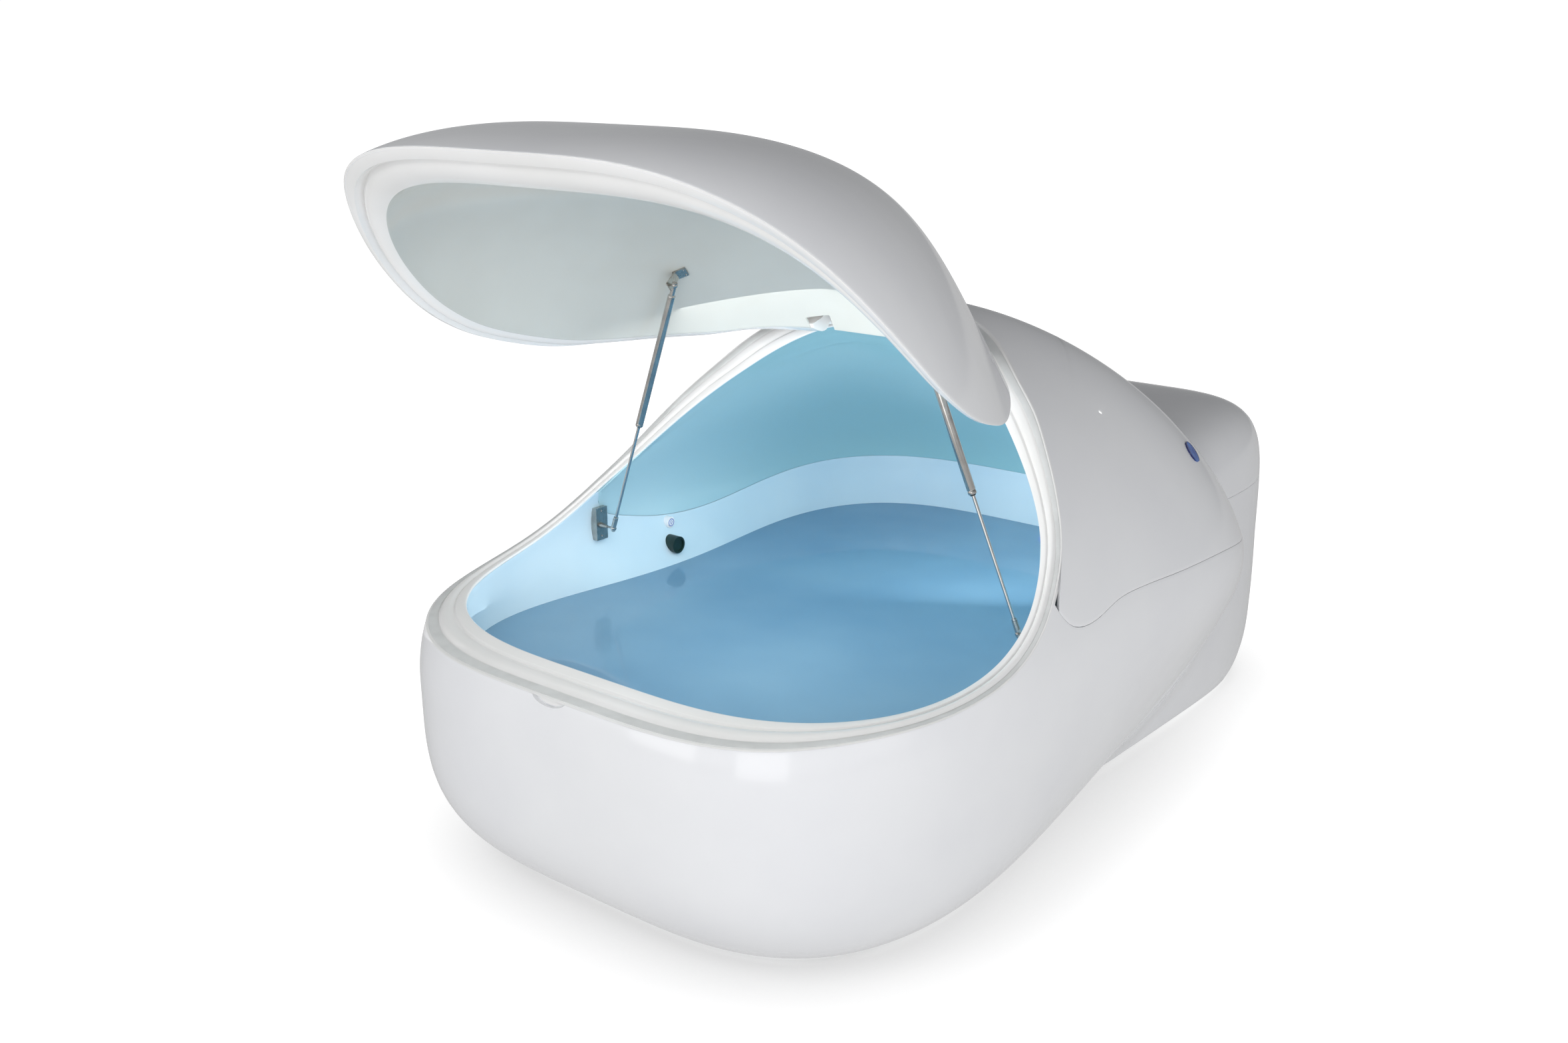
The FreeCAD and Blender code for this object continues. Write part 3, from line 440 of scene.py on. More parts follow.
def band(rule, keep, floor, columns, rows, fine=()):
    """grid over rule's form from height floor up to where keep turns negative, in columns round z"""
    az = np.linspace(-math.pi, math.pi, columns, endpoint=False)
    for a, b, n in fine:
        extra = np.radians(np.linspace(a, b, n))
        az = az[(az < extra[0]) | (az > extra[-1])]
        az = np.sort(np.concatenate([az, extra]))

    def at(e):
        a = az if e.ndim == 1 else az[:, None]
        return reach(rule, np.stack([np.cos(e) * np.sin(a), -np.cos(e) * np.cos(a), np.sin(e)], -1))

    def last(good, lo, hi):
        for _ in range(28):
            m = 0.5 * (lo + hi)
            g = good(at(m))
            lo, hi = np.where(g, m, lo), np.where(g, hi, m)
        return lo

    n = len(az)
    low = last(lambda p: p[..., 2] < floor, np.full(n, -1.5), np.full(n, -0.1))
    scan = np.linspace(-0.1, 1.2, 60)
    first = np.argmax(keep(at(np.broadcast_to(scan, (n, 60)))) < 0.0, axis=1)
    high = last(lambda p: keep(p) > 0.0, scan[np.maximum(first - 1, 0)], scan[first])
    t = np.linspace(0.0, 1.0, rows)
    return at(low[:, None] * (1.0 - t) + high[:, None] * t)


def azimuth(p):
    """degrees round z from straight ahead at which band() sees the point p"""
    return math.degrees(math.atan2(p[0], CENTRE[1] - p[1]))


def band_object(name, points, material):
    columns, rows = points.shape[:2]
    faces = grid_faces(columns, rows)
    return new_object(name, to_row(points.reshape(-1, 3)), faces, material)


def lathe(name, a, b, profile, material, steps=40, ring=False):
    """turned piece on the line a to b, in metres; profile holds (mm along from a, radius).
    A ring's profile closes on itself instead of being capped."""
    a, b = Vector(a), Vector(b)
    turn = (b - a).to_track_quat("Z", "Y")
    verts, faces = [], []
    for along, r in profile:
        for i in range(steps):
            t = 2.0 * math.pi * i / steps
            verts.append(a + turn @ Vector((r * math.cos(t), r * math.sin(t), along)) * MM)
    n = len(profile)
    for j in range(n if ring else n - 1):
        for i in range(steps):
            k, m = (i + 1) % steps, (j + 1) % n
            faces.append((j * steps + i, j * steps + k, m * steps + k, m * steps + i))
    if not ring:
        faces.append(tuple(reversed(range(steps))))
        faces.append(tuple(range((n - 1) * steps, n * steps)))
    obj = new_object(name, verts, faces, material)
    return smooth_by_angle(face_out(obj), 30.0)


def cut(obj, tool, operation="DIFFERENCE"):
    use(obj, ("BOOLEAN", {"object": tool, "operation": operation, "solver": "MANIFOLD"}))
    bpy.data.objects.remove(tool)
    return smooth_by_angle(obj)


def ball_tool(centre, radii, material, steps=64):
    bm = bmesh.new()
    bmesh.ops.create_uvsphere(bm, u_segments=steps, v_segments=steps // 2, radius=1.0)
    for v in bm.verts:
        v.co = Vector(to_row(np.array(v.co) * radii + centre))
    mesh = bpy.data.meshes.new("tool")
    bm.to_mesh(mesh)
    bm.free()
    mesh.materials.append(material)
    obj = bpy.data.objects.new("tool", mesh)
    bpy.context.scene.collection.objects.link(obj)
    return obj


def box_tool(low, high, material, lid=False):
    corners = [(x, y, z) for x in (low[0], high[0]) for y in (low[1], high[1]) for z in (low[2], high[2])]
    verts = to_row(np.array(corners), lid)
    faces = [(0, 1, 3, 2), (4, 6, 7, 5), (0, 4, 5, 1), (2, 3, 7, 6), (0, 2, 6, 4), (1, 5, 7, 3)]
    return face_out(new_object("tool", verts, faces, material, smooth=False))


def slice_off(obj, at, normal, gap=0.0):
    """keeps the part of obj on the far side of a plane and closes the cut; at is in drawing mm"""
    bm = bmesh.new()
    bm.from_mesh(obj.data)
    place = Vector(to_row(at)) + Vector(normal) * gap * MM
    bmesh.ops.bisect_plane(bm, geom=bm.verts[:] + bm.edges[:] + bm.faces[:], dist=1e-6, plane_co=place,
                           plane_no=normal, clear_inner=True)
    edges = [e for e in bm.edges if e.is_boundary]
    bmesh.ops.holes_fill(bm, edges=edges, sides=0)
    bm.to_mesh(obj.data)
    bm.free()
    return smooth_by_angle(obj, 40.0)


def copy_of(obj, name):
    twin = obj.copy()
    twin.data = obj.data.copy()
    twin.name = twin.data.name = name
    bpy.context.scene.collection.objects.link(twin)
    return twin


def joined(name, objects):
    """one mesh of several closed pieces"""
    bm = bmesh.new()
    for obj in objects:
        bm.from_mesh(obj.data)
    mesh = bpy.data.meshes.new(name)
    bm.to_mesh(mesh)
    bm.free()
    mesh.materials.append(objects[0].data.materials[0])
    for obj in objects:
        bpy.data.objects.remove(obj)
    whole = bpy.data.objects.new(name, mesh)
    bpy.context.scene.collection.objects.link(whole)
    return smooth_by_angle(whole, 30.0)


def settle(obj, body, slot, *nodes):
    """makes obj ride on a body and stand for the nodes it is the finished form of, which it hides; slot is
    not used
    """
    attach(obj, body)
    if nodes:
        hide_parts(*nodes)
    return obj


# ------------------------------------------------------------------ materials
def linear(code):
    """sRGB hex to linear RGBA; a colour of the settings is linear already"""
    if not isinstance(code, str):
        return (*code, 1.0)
    out = []
    for k in (0, 2, 4):
        v = int(code[k:k + 2], 16) / 255.0
        out.append(v / 12.92 if v <= 0.04045 else ((v + 0.055) / 1.055) ** 2.4)
    return (*out, 1.0)


def node(tree, kind, inputs=None, **settings):
    """adds a node with its settings, values and links"""
    n = tree.nodes.new(kind)
    for key, value in settings.items():
        setattr(n, key, value)
    for key, value in (inputs or {}).items():
        if isinstance(value, bpy.types.NodeSocket):
            tree.links.new(value, n.inputs[key])
        else:
            n.inputs[key].default_value = value
    return n


def new_material(name):
    m = bpy.data.materials.new(name)
    m.use_nodes = True
    tree = m.node_tree
    tree.nodes.clear()
    shader = node(tree, "ShaderNodeBsdfPrincipled")
    node(tree, "ShaderNodeOutputMaterial", {"Surface": shader.outputs[0]})
    place = node(tree, "ShaderNodeTexCoord").outputs["Object"]
    return m, tree, shader, place


def per_mm(size):
    """noise scale whose features measure about size mm"""
    return 1000.0 / size


def blotches(tree, place, size, light, dark, detail=3.0):
    """slow colour variation between two near colours"""
    noise = node(tree, "ShaderNodeTexNoise", {"Vector": place, "Scale": per_mm(size), "Detail": detail})
    ramp = node(tree, "ShaderNodeValToRGB", {"Fac": noise.outputs[0]})
    ramp.color_ramp.elements[0].position, ramp.color_ramp.elements[1].position = 0.35, 0.65
    ramp.color_ramp.elements[0].color, ramp.color_ramp.elements[1].color = linear(dark), linear(light)
    return ramp.outputs[0]


def waviness(tree, place, size, height, detail=2.0, normal=None):
    """bump of features about size mm across and height mm high"""
    noise = node(tree, "ShaderNodeTexNoise", {"Vector": place, "Scale": per_mm(size), "Detail": detail})
    inputs = {"Height": noise.outputs[0], "Distance": height * MM, "Strength": 1.0}
    if normal is not None:
        inputs["Normal"] = normal
    return node(tree, "ShaderNodeBump", inputs).outputs[0]


def roughness(tree, place, size, low, high):
    noise = node(tree, "ShaderNodeTexNoise", {"Vector": place, "Scale": per_mm(size), "Detail": 4.0})
    return node(tree, "ShaderNodeMapRange", {"Value": noise.outputs[0], "From Min": 0.3, "From Max": 0.7,
                                             "To Min": low, "To Max": high}).outputs[0]


def gelcoat(name, light, dark, low=0.10, high=0.16, peel=0.02):
    """polyester gelcoat off a polished mould: deep gloss, a trace of orange peel and hand polishing"""
    m, tree, shader, place = new_material(name)
    tree.links.new(blotches(tree, place, 420.0, light, dark), shader.inputs["Base Color"])
    tree.links.new(roughness(tree, place, 160.0, low, high), shader.inputs["Roughness"])
    fine = waviness(tree, place, 9.0, peel)
    tree.links.new(waviness(tree, place, 90.0, peel * 6.0, normal=fine), shader.inputs["Normal"])
    shader.inputs["IOR"].default_value = 1.52
    shader.inputs["Coat Weight"].default_value = 0.35
    shader.inputs["Coat Roughness"].default_value = 0.05
    return m


def metal(name, light, dark, low, high, grain=0.25, brushed=None):
    """stainless steel: polished or brushed; a brushed one has streaks along one axis"""
    m, tree, shader, place = new_material(name)
    tree.links.new(blotches(tree, place, 30.0, light, dark), shader.inputs["Base Color"])
    if brushed:
        place = node(tree, "ShaderNodeMapping", {"Vector": place, "Scale": brushed}).outputs[0]
    tree.links.new(roughness(tree, place, 3.0, low, high), shader.inputs["Roughness"])
    tree.links.new(waviness(tree, place, 1.2, grain * 0.02), shader.inputs["Normal"])
    shader.inputs["Metallic"].default_value = 1.0
    return m


def moulded(name, light, dark, low=0.35, high=0.5, grain=0.03, size=1.5):
    """injection-moulded or extruded plastic with a fine spark-eroded texture"""
    m, tree, shader, place = new_material(name)
    tree.links.new(blotches(tree, place, 60.0, light, dark), shader.inputs["Base Color"])
    tree.links.new(roughness(tree, place, 20.0, low, high), shader.inputs["Roughness"])
    tree.links.new(waviness(tree, place, size, grain), shader.inputs["Normal"])
    shader.inputs["IOR"].default_value = 1.49
    return m


def mix(tree, factor, a, b):
    """colour between a and b; each is a hex code, a colour of the settings or a socket"""
    a, b = (c if isinstance(c, bpy.types.NodeSocket) else linear(c) for c in (a, b))
    return node(tree, "ShaderNodeMix", {0: factor, 6: a, 7: b}, data_type="RGBA").outputs[2]


def graded(name, low, high, rear, z0, z1):
    """gelcoat lit by a coloured pool lamp: its tint runs with height from low to high, and on to the rear"""
    m, tree, shader, place = new_material(name)
    split = node(tree, "ShaderNodeSeparateXYZ", {"Vector": place})
    rise = node(tree, "ShaderNodeMapRange", {"Value": split.outputs["Z"], "From Min": z0, "From Max": z1})
    depth = node(tree, "ShaderNodeMapRange", {"Value": split.outputs["Y"], "From Min": -0.3, "From Max": 0.9})
    tone = mix(tree, rise.outputs[0], low, high)
    tree.links.new(mix(tree, depth.outputs[0], tone, rear), shader.inputs["Base Color"])
    tree.links.new(roughness(tree, place, 160.0, 0.14, 0.24), shader.inputs["Roughness"])
    tree.links.new(waviness(tree, place, 12.0, 0.03), shader.inputs["Normal"])
    shader.inputs["IOR"].default_value = 1.52
    return m


def from_centre(tree, place, centre, radius, axes=(1.0, 0.0, 1.0)):
    """0 at a centre to 1 at radius mm from it, measured along the axes given"""
    away = node(tree, "ShaderNodeVectorMath", {0: place, 1: centre}, operation="SUBTRACT")
    away = node(tree, "ShaderNodeVectorMath", {0: away.outputs[0], 1: axes}, operation="MULTIPLY")
    far = node(tree, "ShaderNodeVectorMath", {0: away.outputs[0]}, operation="LENGTH").outputs["Value"]
    return node(tree, "ShaderNodeMapRange", {"Value": far, "From Max": radius * MM}).outputs[0]


def glowing_lens(name, core, rim, body, centre, radius, strength):
    """clear acrylic lens over a diode in a white bezel: a bright core and a halo that falls off outwards"""
    m, tree, shader, place = new_material(name)
    share = from_centre(tree, place, centre, radius)
    near = from_centre(tree, place, centre, 0.5 * radius)
    tree.links.new(mix(tree, share, rim, body), shader.inputs["Base Color"])
    tree.links.new(mix(tree, near, core, rim), shader.inputs["Emission Color"])
    tree.links.new(roughness(tree, place, 6.0, 0.05, 0.12), shader.inputs["Roughness"])
    left = math_node(tree, "SUBTRACT", 1.0, share)
    tree.links.new(math_node(tree, "MULTIPLY", left, strength), shader.inputs["Emission Strength"])
    return m


def domed_badge(name, light, dark, rim, centre):
    """cast resin dome over a blue foil, with a darker moulded rim"""
    m, tree, shader, place = new_material(name)
    share = from_centre(tree, place, centre, 32.0, (0.0, 1.0, 1.0))
    edge = node(tree, "ShaderNodeMapRange", {"Value": share, "From Min": 0.74, "From Max": 0.84}).outputs[0]
    foil = blotches(tree, place, 26.0, light, dark)
    tree.links.new(mix(tree, edge, foil, rim), shader.inputs["Base Color"])
    tree.links.new(roughness(tree, place, 20.0, 0.04, 0.09), shader.inputs["Roughness"])
    tree.links.new(waviness(tree, place, 30.0, 0.4), shader.inputs["Normal"])
    shader.inputs["IOR"].default_value = 1.5
    return m


def salt_water(light, dark):
    """still brine over a pale blue tub: it mirrors the walls, and takes on the tub's blue where it is deep"""
    m, tree, shader, place = new_material("salt_water")
    tree.links.new(blotches(tree, place, 700.0, light, dark), shader.inputs["Base Color"])
    tree.links.new(waviness(tree, place, 240.0, 1.2, 1.0), shader.inputs["Normal"])
    tree.links.new(roughness(tree, place, 300.0, 0.02, 0.05), shader.inputs["Roughness"])
    shader.inputs["IOR"].default_value = 1.36
    shader.inputs["Alpha"].default_value = 0.6
    return m


def make_materials():
    s = sizes()
    lamp, badge = (sum(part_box(name), Vector()) / 2 for name in ("led_rear", "badge"))
    return {
        "shell_gelcoat": gelcoat("white_gelcoat_polished", s.shell_colour, "ECEDF0"),
        "rim_gelcoat": gelcoat("white_gelcoat_satin", s.rim_colour, "EBEBEA", 0.18, 0.26),
        "tub_gelcoat": gelcoat("pale_blue_gelcoat", s.tub_colour, "C4DEED", 0.12, 0.2),
        "hood_gelcoat": graded("blue_green_gelcoat", s.hood_colour, "9CC7D0", "8FC0CA", 0.62, 1.3),
        "lid_panel": gelcoat("grey_green_gelcoat", s.panel_colour, "C8CAC5", 0.16, 0.24),
        "gasket_foam": moulded("grey_seal_foam", "D6D8D8", "CDCFCF", 0.5, 0.65, 0.06, 0.8),
        "stainless": metal("stainless_steel_polished", "C9C7C3", "B9B7B4", 0.12, 0.24),
        "plate_steel": metal("stainless_steel_brushed", "BFBDB8", "A9A7A2", 0.22, 0.38,
                             brushed=(1.0, 1.0, 0.05)),
        "chrome_rod": metal("hard_chrome", "D8D7D5", "CDCBC8", 0.05, 0.10),
        "dark_seal": moulded("black_nitrile_rubber", "1A1B1C", "131414", 0.45, 0.6),
        "badge_enamel": domed_badge("blue_doming_resin", s.badge_colour, "1C4FA6", "0E2468", badge),
        "button_plastic": moulded("white_abs_gloss", "F2F5F8", "E8EDF2", 0.15, 0.25),
        "button_print": moulded("blue_pad_print", "2E62C8", "2450AE", 0.3, 0.4),
        "cap_plastic": moulded("dark_green_black_abs", "17342F", "10241F", 0.3, 0.45),
        "led_lens": glowing_lens("blue_violet_lens", "A8F4FF", "4A30FF", "CFE0F0", lamp, 17.0, strength=3.0),
        "fitting_plastic": moulded("white_abs_moulded", "DCE9F0", "D2E1EA", 0.22, 0.34),
        "heater_rubber": moulded("red_brown_silicone", "8A3B22", "7A3420", 0.5, 0.65),
        "frame_metal": metal("aluminium_mill_finish", "B4B6B8", "9FA1A4", 0.35, 0.5,
                             brushed=(1.0, 0.05, 1.0)),
        "foot_metal": metal("zinc_plated_steel", "A9AAA6", "93948F", 0.3, 0.45),
        "tray_metal": metal("aluminium_sheet", "BDBFC1", "A9ABAE", 0.35, 0.5, brushed=(0.05, 1.0, 1.0)),
        "cradle_foam": moulded("dense_grey_foam", "5A5D61", "4D5054", 0.8, 0.9, 0.5, 3.0),
        "filter_plastic": moulded("black_glass_filled_nylon", "232426", "1B1C1E", 0.4, 0.55, 0.05),
        "cartridge_paper": moulded("pleated_polyester", "E9E8E2", "DCDAD2", 0.8, 0.9, 0.4, 5.0),
        "pump_metal": moulded("charcoal_powder_coat", "3C4147", "33373C", 0.45, 0.6, 0.1, 1.0),
        "uv_tube": moulded("grey_polypropylene", "55585C", "4A4D51", 0.4, 0.55),
        "control_case": moulded("light_grey_polycarbonate", "C9CBCB", "BEC0C0", 0.35, 0.5),
        "pvc_pipe": moulded("white_pvc_extruded", "E4E6E6", "D9DBDB", 0.25, 0.4),
        "valve_plastic": moulded("blue_abs_lever", "335C9E", "2B4F8A", 0.3, 0.45),
        "salt_water": salt_water(s.water_colour, "7CABCD"),
    }


MATERIALS = {}


def finish_node(name, material):
    """gives a carried-over CAD node its finished material"""
    for slot in frame["nodes"][name].material_slots:
        slot.material = MATERIALS[material]


# ------------------------------------------------------------------ places on the forms
def joint(name):
    return next(j for j in RECORD["behaviour"]["joints"] if j["name"] == name)


def strut_line(side):
    """the wall ball in the row frame, the strut's direction, and its open length in mm"""
    low = Vector(joint("strut_swing_" + side)["pos_m"])
    u = Vector(joint("strut_slide_" + side)["axis"]).normalized()
    lo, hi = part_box("strut_tube_" + side)
    far = max(abs((c - low).dot(u)) for c in (lo, hi))
    return low, (u if (lo + hi - 2 * low).dot(u) > 0 else -u), far / MM


def on_side(rule, y, z):
    """half width in mm of rule's form at (y, z)"""
    lo, hi = 0.0, 1500.0
    for _ in range(40):
        m = 0.5 * (lo + hi)
        lo, hi = (m, hi) if rule(np.array((m, y, z))) < 0.0 else (lo, m)
    return lo


def on_line(curve, rule, y):
    """the two corners where a side-view curve crosses rule's form at y, in mm"""
    rising = curve.p[:, 0] < 1200.0
    z = float(np.interp(y, curve.p[rising, 0], curve.p[rising, 1]))
    x = on_side(rule, y, z)
    return (x, y, z), (-x, y, z)


# ------------------------------------------------------------------ geometry nodes
def new_tree(name, inputs):
    """geometry tree with a Geometry input, named float inputs and a Geometry output"""
    tree = bpy.data.node_groups.new(name, "GeometryNodeTree")
    tree.interface.new_socket("Geometry", in_out="INPUT", socket_type="NodeSocketGeometry")
    for label, value in inputs:
        kind = "NodeSocketInt" if isinstance(value, int) else "NodeSocketFloat"
        tree.interface.new_socket(label, in_out="INPUT", socket_type=kind).default_value = value
    tree.interface.new_socket("Geometry", in_out="OUTPUT", socket_type="NodeSocketGeometry")
    return tree, node(tree, "NodeGroupInput").outputs


def math_node(tree, operation, a, b):
    return node(tree, "ShaderNodeMath", {0: a, 1: b}, operation=operation).outputs[0]


def end_tree(tree, geometry, material):
    """realizes what a tree repeats and gives it its material"""
    real = node(tree, "GeometryNodeRealizeInstances", {"Geometry": geometry})
    done = node(tree, "GeometryNodeSetMaterial", {"Geometry": real.outputs[0], "Material": material})
    node(tree, "NodeGroupOutput", {"Geometry": done.outputs[0]})
    return tree


def screw_tree(material):
    """pan-head screws with a hexagon recess, one on each point, aimed along its own direction"""
    tree, given = new_tree("pan_head_screws", (("Head Diameter", 9.0 * MM), ("Head Height", 3.0 * MM),
                                               ("Recess Width", 4.0 * MM)))
    half = math_node(tree, "MULTIPLY", given["Head Diameter"], 0.5)
    head = node(tree, "GeometryNodeMeshCone", {
        "Vertices": 28, "Radius Top": math_node(tree, "MULTIPLY", half, 0.7), "Radius Bottom": half,
        "Depth": given["Head Height"]})
    recess = node(tree, "GeometryNodeMeshCylinder", {
        "Vertices": 6, "Radius": math_node(tree, "MULTIPLY", given["Recess Width"], 0.5),
        "Depth": given["Head Height"]})
    lift = node(tree, "ShaderNodeCombineXYZ", {"Z": math_node(tree, "MULTIPLY", given["Head Height"], 0.9)})
    recess = node(tree, "GeometryNodeTransform", {"Geometry": recess.outputs["Mesh"],
                                                  "Translation": lift.outputs[0]})
    head = node(tree, "GeometryNodeMeshBoolean", {"Mesh 1": head.outputs["Mesh"],
                                                  "Mesh 2": recess.outputs[0]}, operation="DIFFERENCE")
    aim = node(tree, "GeometryNodeInputNamedAttribute", {"Name": "aim"}, data_type="FLOAT_VECTOR")
    turn = node(tree, "FunctionNodeAlignRotationToVector", {"Vector": aim.outputs[0]}, axis="Z")
    put = node(tree, "GeometryNodeInstanceOnPoints", {
        "Points": given["Geometry"], "Instance": head.outputs["Mesh"], "Rotation": turn.outputs[0]})
    return end_tree(tree, put.outputs[0], material)


def grille_tree(material):
    """round bars side by side along X, each shortened to fit a round hole"""
    tree, given = new_tree("round_grille", (("Bars", 7), ("Hole Radius", 17.0 * MM),
                                            ("Bar Radius", 1.1 * MM)))
    half_row = math_node(tree, "MULTIPLY", given["Hole Radius"], 0.86)
    line = node(tree, "GeometryNodeMeshLine", {
        "Count": given["Bars"],
        "Start Location": node(tree, "ShaderNodeCombineXYZ", {
            "X": math_node(tree, "MULTIPLY", half_row, -1.0)}).outputs[0],
        "Offset": node(tree, "ShaderNodeCombineXYZ", {"X": half_row}).outputs[0]}, mode="END_POINTS")
    bar = node(tree, "GeometryNodeMeshCylinder", {"Vertices": 12, "Radius": given["Bar Radius"],
                                                  "Depth": 2.0 * MM})
    at = node(tree, "GeometryNodeInputPosition").outputs[0]
    across = node(tree, "ShaderNodeSeparateXYZ", {"Vector": at})
    share = math_node(tree, "DIVIDE", across.outputs["X"], given["Hole Radius"])
    left = math_node(tree, "SUBTRACT", 1.0, math_node(tree, "MULTIPLY", share, share))
    run = math_node(tree, "MULTIPLY", math_node(tree, "POWER", left, 0.5), given["Hole Radius"])
    stretch = node(tree, "ShaderNodeCombineXYZ", {"X": 1.0, "Y": 1.0,
                                                  "Z": math_node(tree, "DIVIDE", run, 1.0 * MM)})
    put = node(tree, "GeometryNodeInstanceOnPoints", {
        "Points": line.outputs[0], "Instance": bar.outputs["Mesh"], "Scale": stretch.outputs[0]})
    grilles = node(tree, "GeometryNodeInstanceOnPoints", {"Points": given["Geometry"],
                                                          "Instance": put.outputs[0]})
    return end_tree(tree, grilles.outputs[0], material)


def carrier(name, points, aims):
    """bare points in row metres, that carry repeated pieces along their aims"""
    mesh = bpy.data.meshes.new(name)
    mesh.from_pydata([tuple(p) for p in points], [], [])
    aim = mesh.attributes.new("aim", "FLOAT_VECTOR", "POINT")
    for k, a in enumerate(aims):
        aim.data[k].vector = Vector(a)
    obj = bpy.data.objects.new(name, mesh)
    bpy.context.scene.collection.objects.link(obj)
    return obj


def grown(obj, tree, **sizes):
    """runs a geometry tree on obj with its inputs set, and keeps the result as plain mesh"""
    m = obj.modifiers.new(tree.name, "NODES")
    m.node_group = tree
    for item in tree.interface.items_tree:
        key = item.name.lower().replace(" ", "_")
        if key in sizes:
            m[item.identifier] = sizes[key]
    mesh = bpy.data.meshes.new_from_object(obj.evaluated_get(bpy.context.evaluated_depsgraph_get()))
    obj.modifiers.clear()
    obj.data = mesh
    return smooth_by_angle(obj, 30.0)


# ------------------------------------------------------------------ settings
def length(name, default, low, high, text):
    """property for a length, in metres; default and limits are given in mm"""
    return bpy.props.FloatProperty(name=name, default=default * MM, min=low * MM, max=high * MM, precision=4,
                                   unit="LENGTH", description=text)


def colour(name, code, text):
    return bpy.props.FloatVectorProperty(name=name, default=linear(code)[:3], min=0.0, max=1.0, size=3,
                                         subtype="COLOR", description=text)


class PodSettings(bpy.types.PropertyGroup):
    """Sizes and colours of the pod's finished surfaces"""
    water_level: length("Water level", 521.0, 400.0, 600.0, "Height of the water above the floor")
    shell_wall: length("Shell wall", 9.0, 4.0, 20.0, "Thickness of the outer moulding")
    lid_wall: length("Lid wall", 7.0, 4.0, 20.0, "Thickness of the lid's outer moulding")
    liner_wall: length("Liner wall", 8.0, 4.0, 20.0, "Thickness of the tub's moulding")
    edge: length("Edge", 0.7, 0.3, 3.0, "Rounding of the mouldings' edges")
    columns: bpy.props.IntProperty(name="Columns", default=280, min=60, max=400,
                                   description="Columns of the mouldings' grids")
    shell_colour: colour("Shell colour", "F1F2F4", "Gelcoat of the outer mouldings and the lid")
    rim_colour: colour("Rim colour", "F0F0F0", "Gelcoat of the rim and the lid's edge")
    tub_colour: colour("Tub colour", "CFE6F2", "Gelcoat of the tub, as its lamp tints it")
    hood_colour: colour("Hood colour", "B4D6E2", "Lining of the hood, low down")
    panel_colour: colour("Panel colour", "D0D3CF", "Panel inside the lid")
    water_colour: colour("Water colour", "8FBBD8", "Water where it is clearest")
    badge_colour: colour("Badge colour", "3E78D0", "Foil under the badge's dome")


def sizes():
    return bpy.context.scene.pod


# ------------------------------------------------------------------ shared edge of the mouldings
LEDGE = -4.5               # heights in mm above the parting line, and how far they dip along the low rim
LEDGE_DROP = 6.5
SHELL_TOP = -7.0
LINER_TOP = -10.5
LIP_LOW = 4.7
LIP_DROP = 8.0
RIM_SPLIT_Y = 848.0        # where the front and rear mouldings meet on the rim
SHELL_CORNER_Y = 849.0
TUB_CORNER_Y = 853.0
FLOOR_CLEAR = 12.0
REAR_POLE = (0.0, 0.6, 0.8)         # from CENTRE, the directions in the middle of each moulding
TUB_POLE = (0.0, -0.15, -1.0)
LID_POLE = (0.0, -0.75, 0.65)
SCOOP_AT = (-20.0, -34.3, 636.0)
SCOOP = (58.0, 30.0, 25.0)          # half sizes of the finger scoop
SCOOP_POLE = (0.0, 1.0, -0.15)
SCOOP_WALL = 3.0
SCOOP_LAP = 0.6            # how far the bowl runs into the shell's wall
DOOR = ((-300.0, 2500.0, 190.0), (300.0, 3200.0, 560.0))
DOOR_GAP = 2.0
LEAF_ROOM = 2.0            # round the fixed hinge leaves


def under_rim(p, height, drop=0.0):
    """distance below the rim's edge curve"""
    return -lip(p, height, drop)


def before(seam, p):
    """distance in mm into the moulding in front of a seam, less half the seam's gap"""
    return -seam.off(p) - SEAM_GAP / 2.0


def behind(seam, p):
    """the same for the moulding behind the seam"""
    return seam.off(p) - SEAM_GAP / 2.0


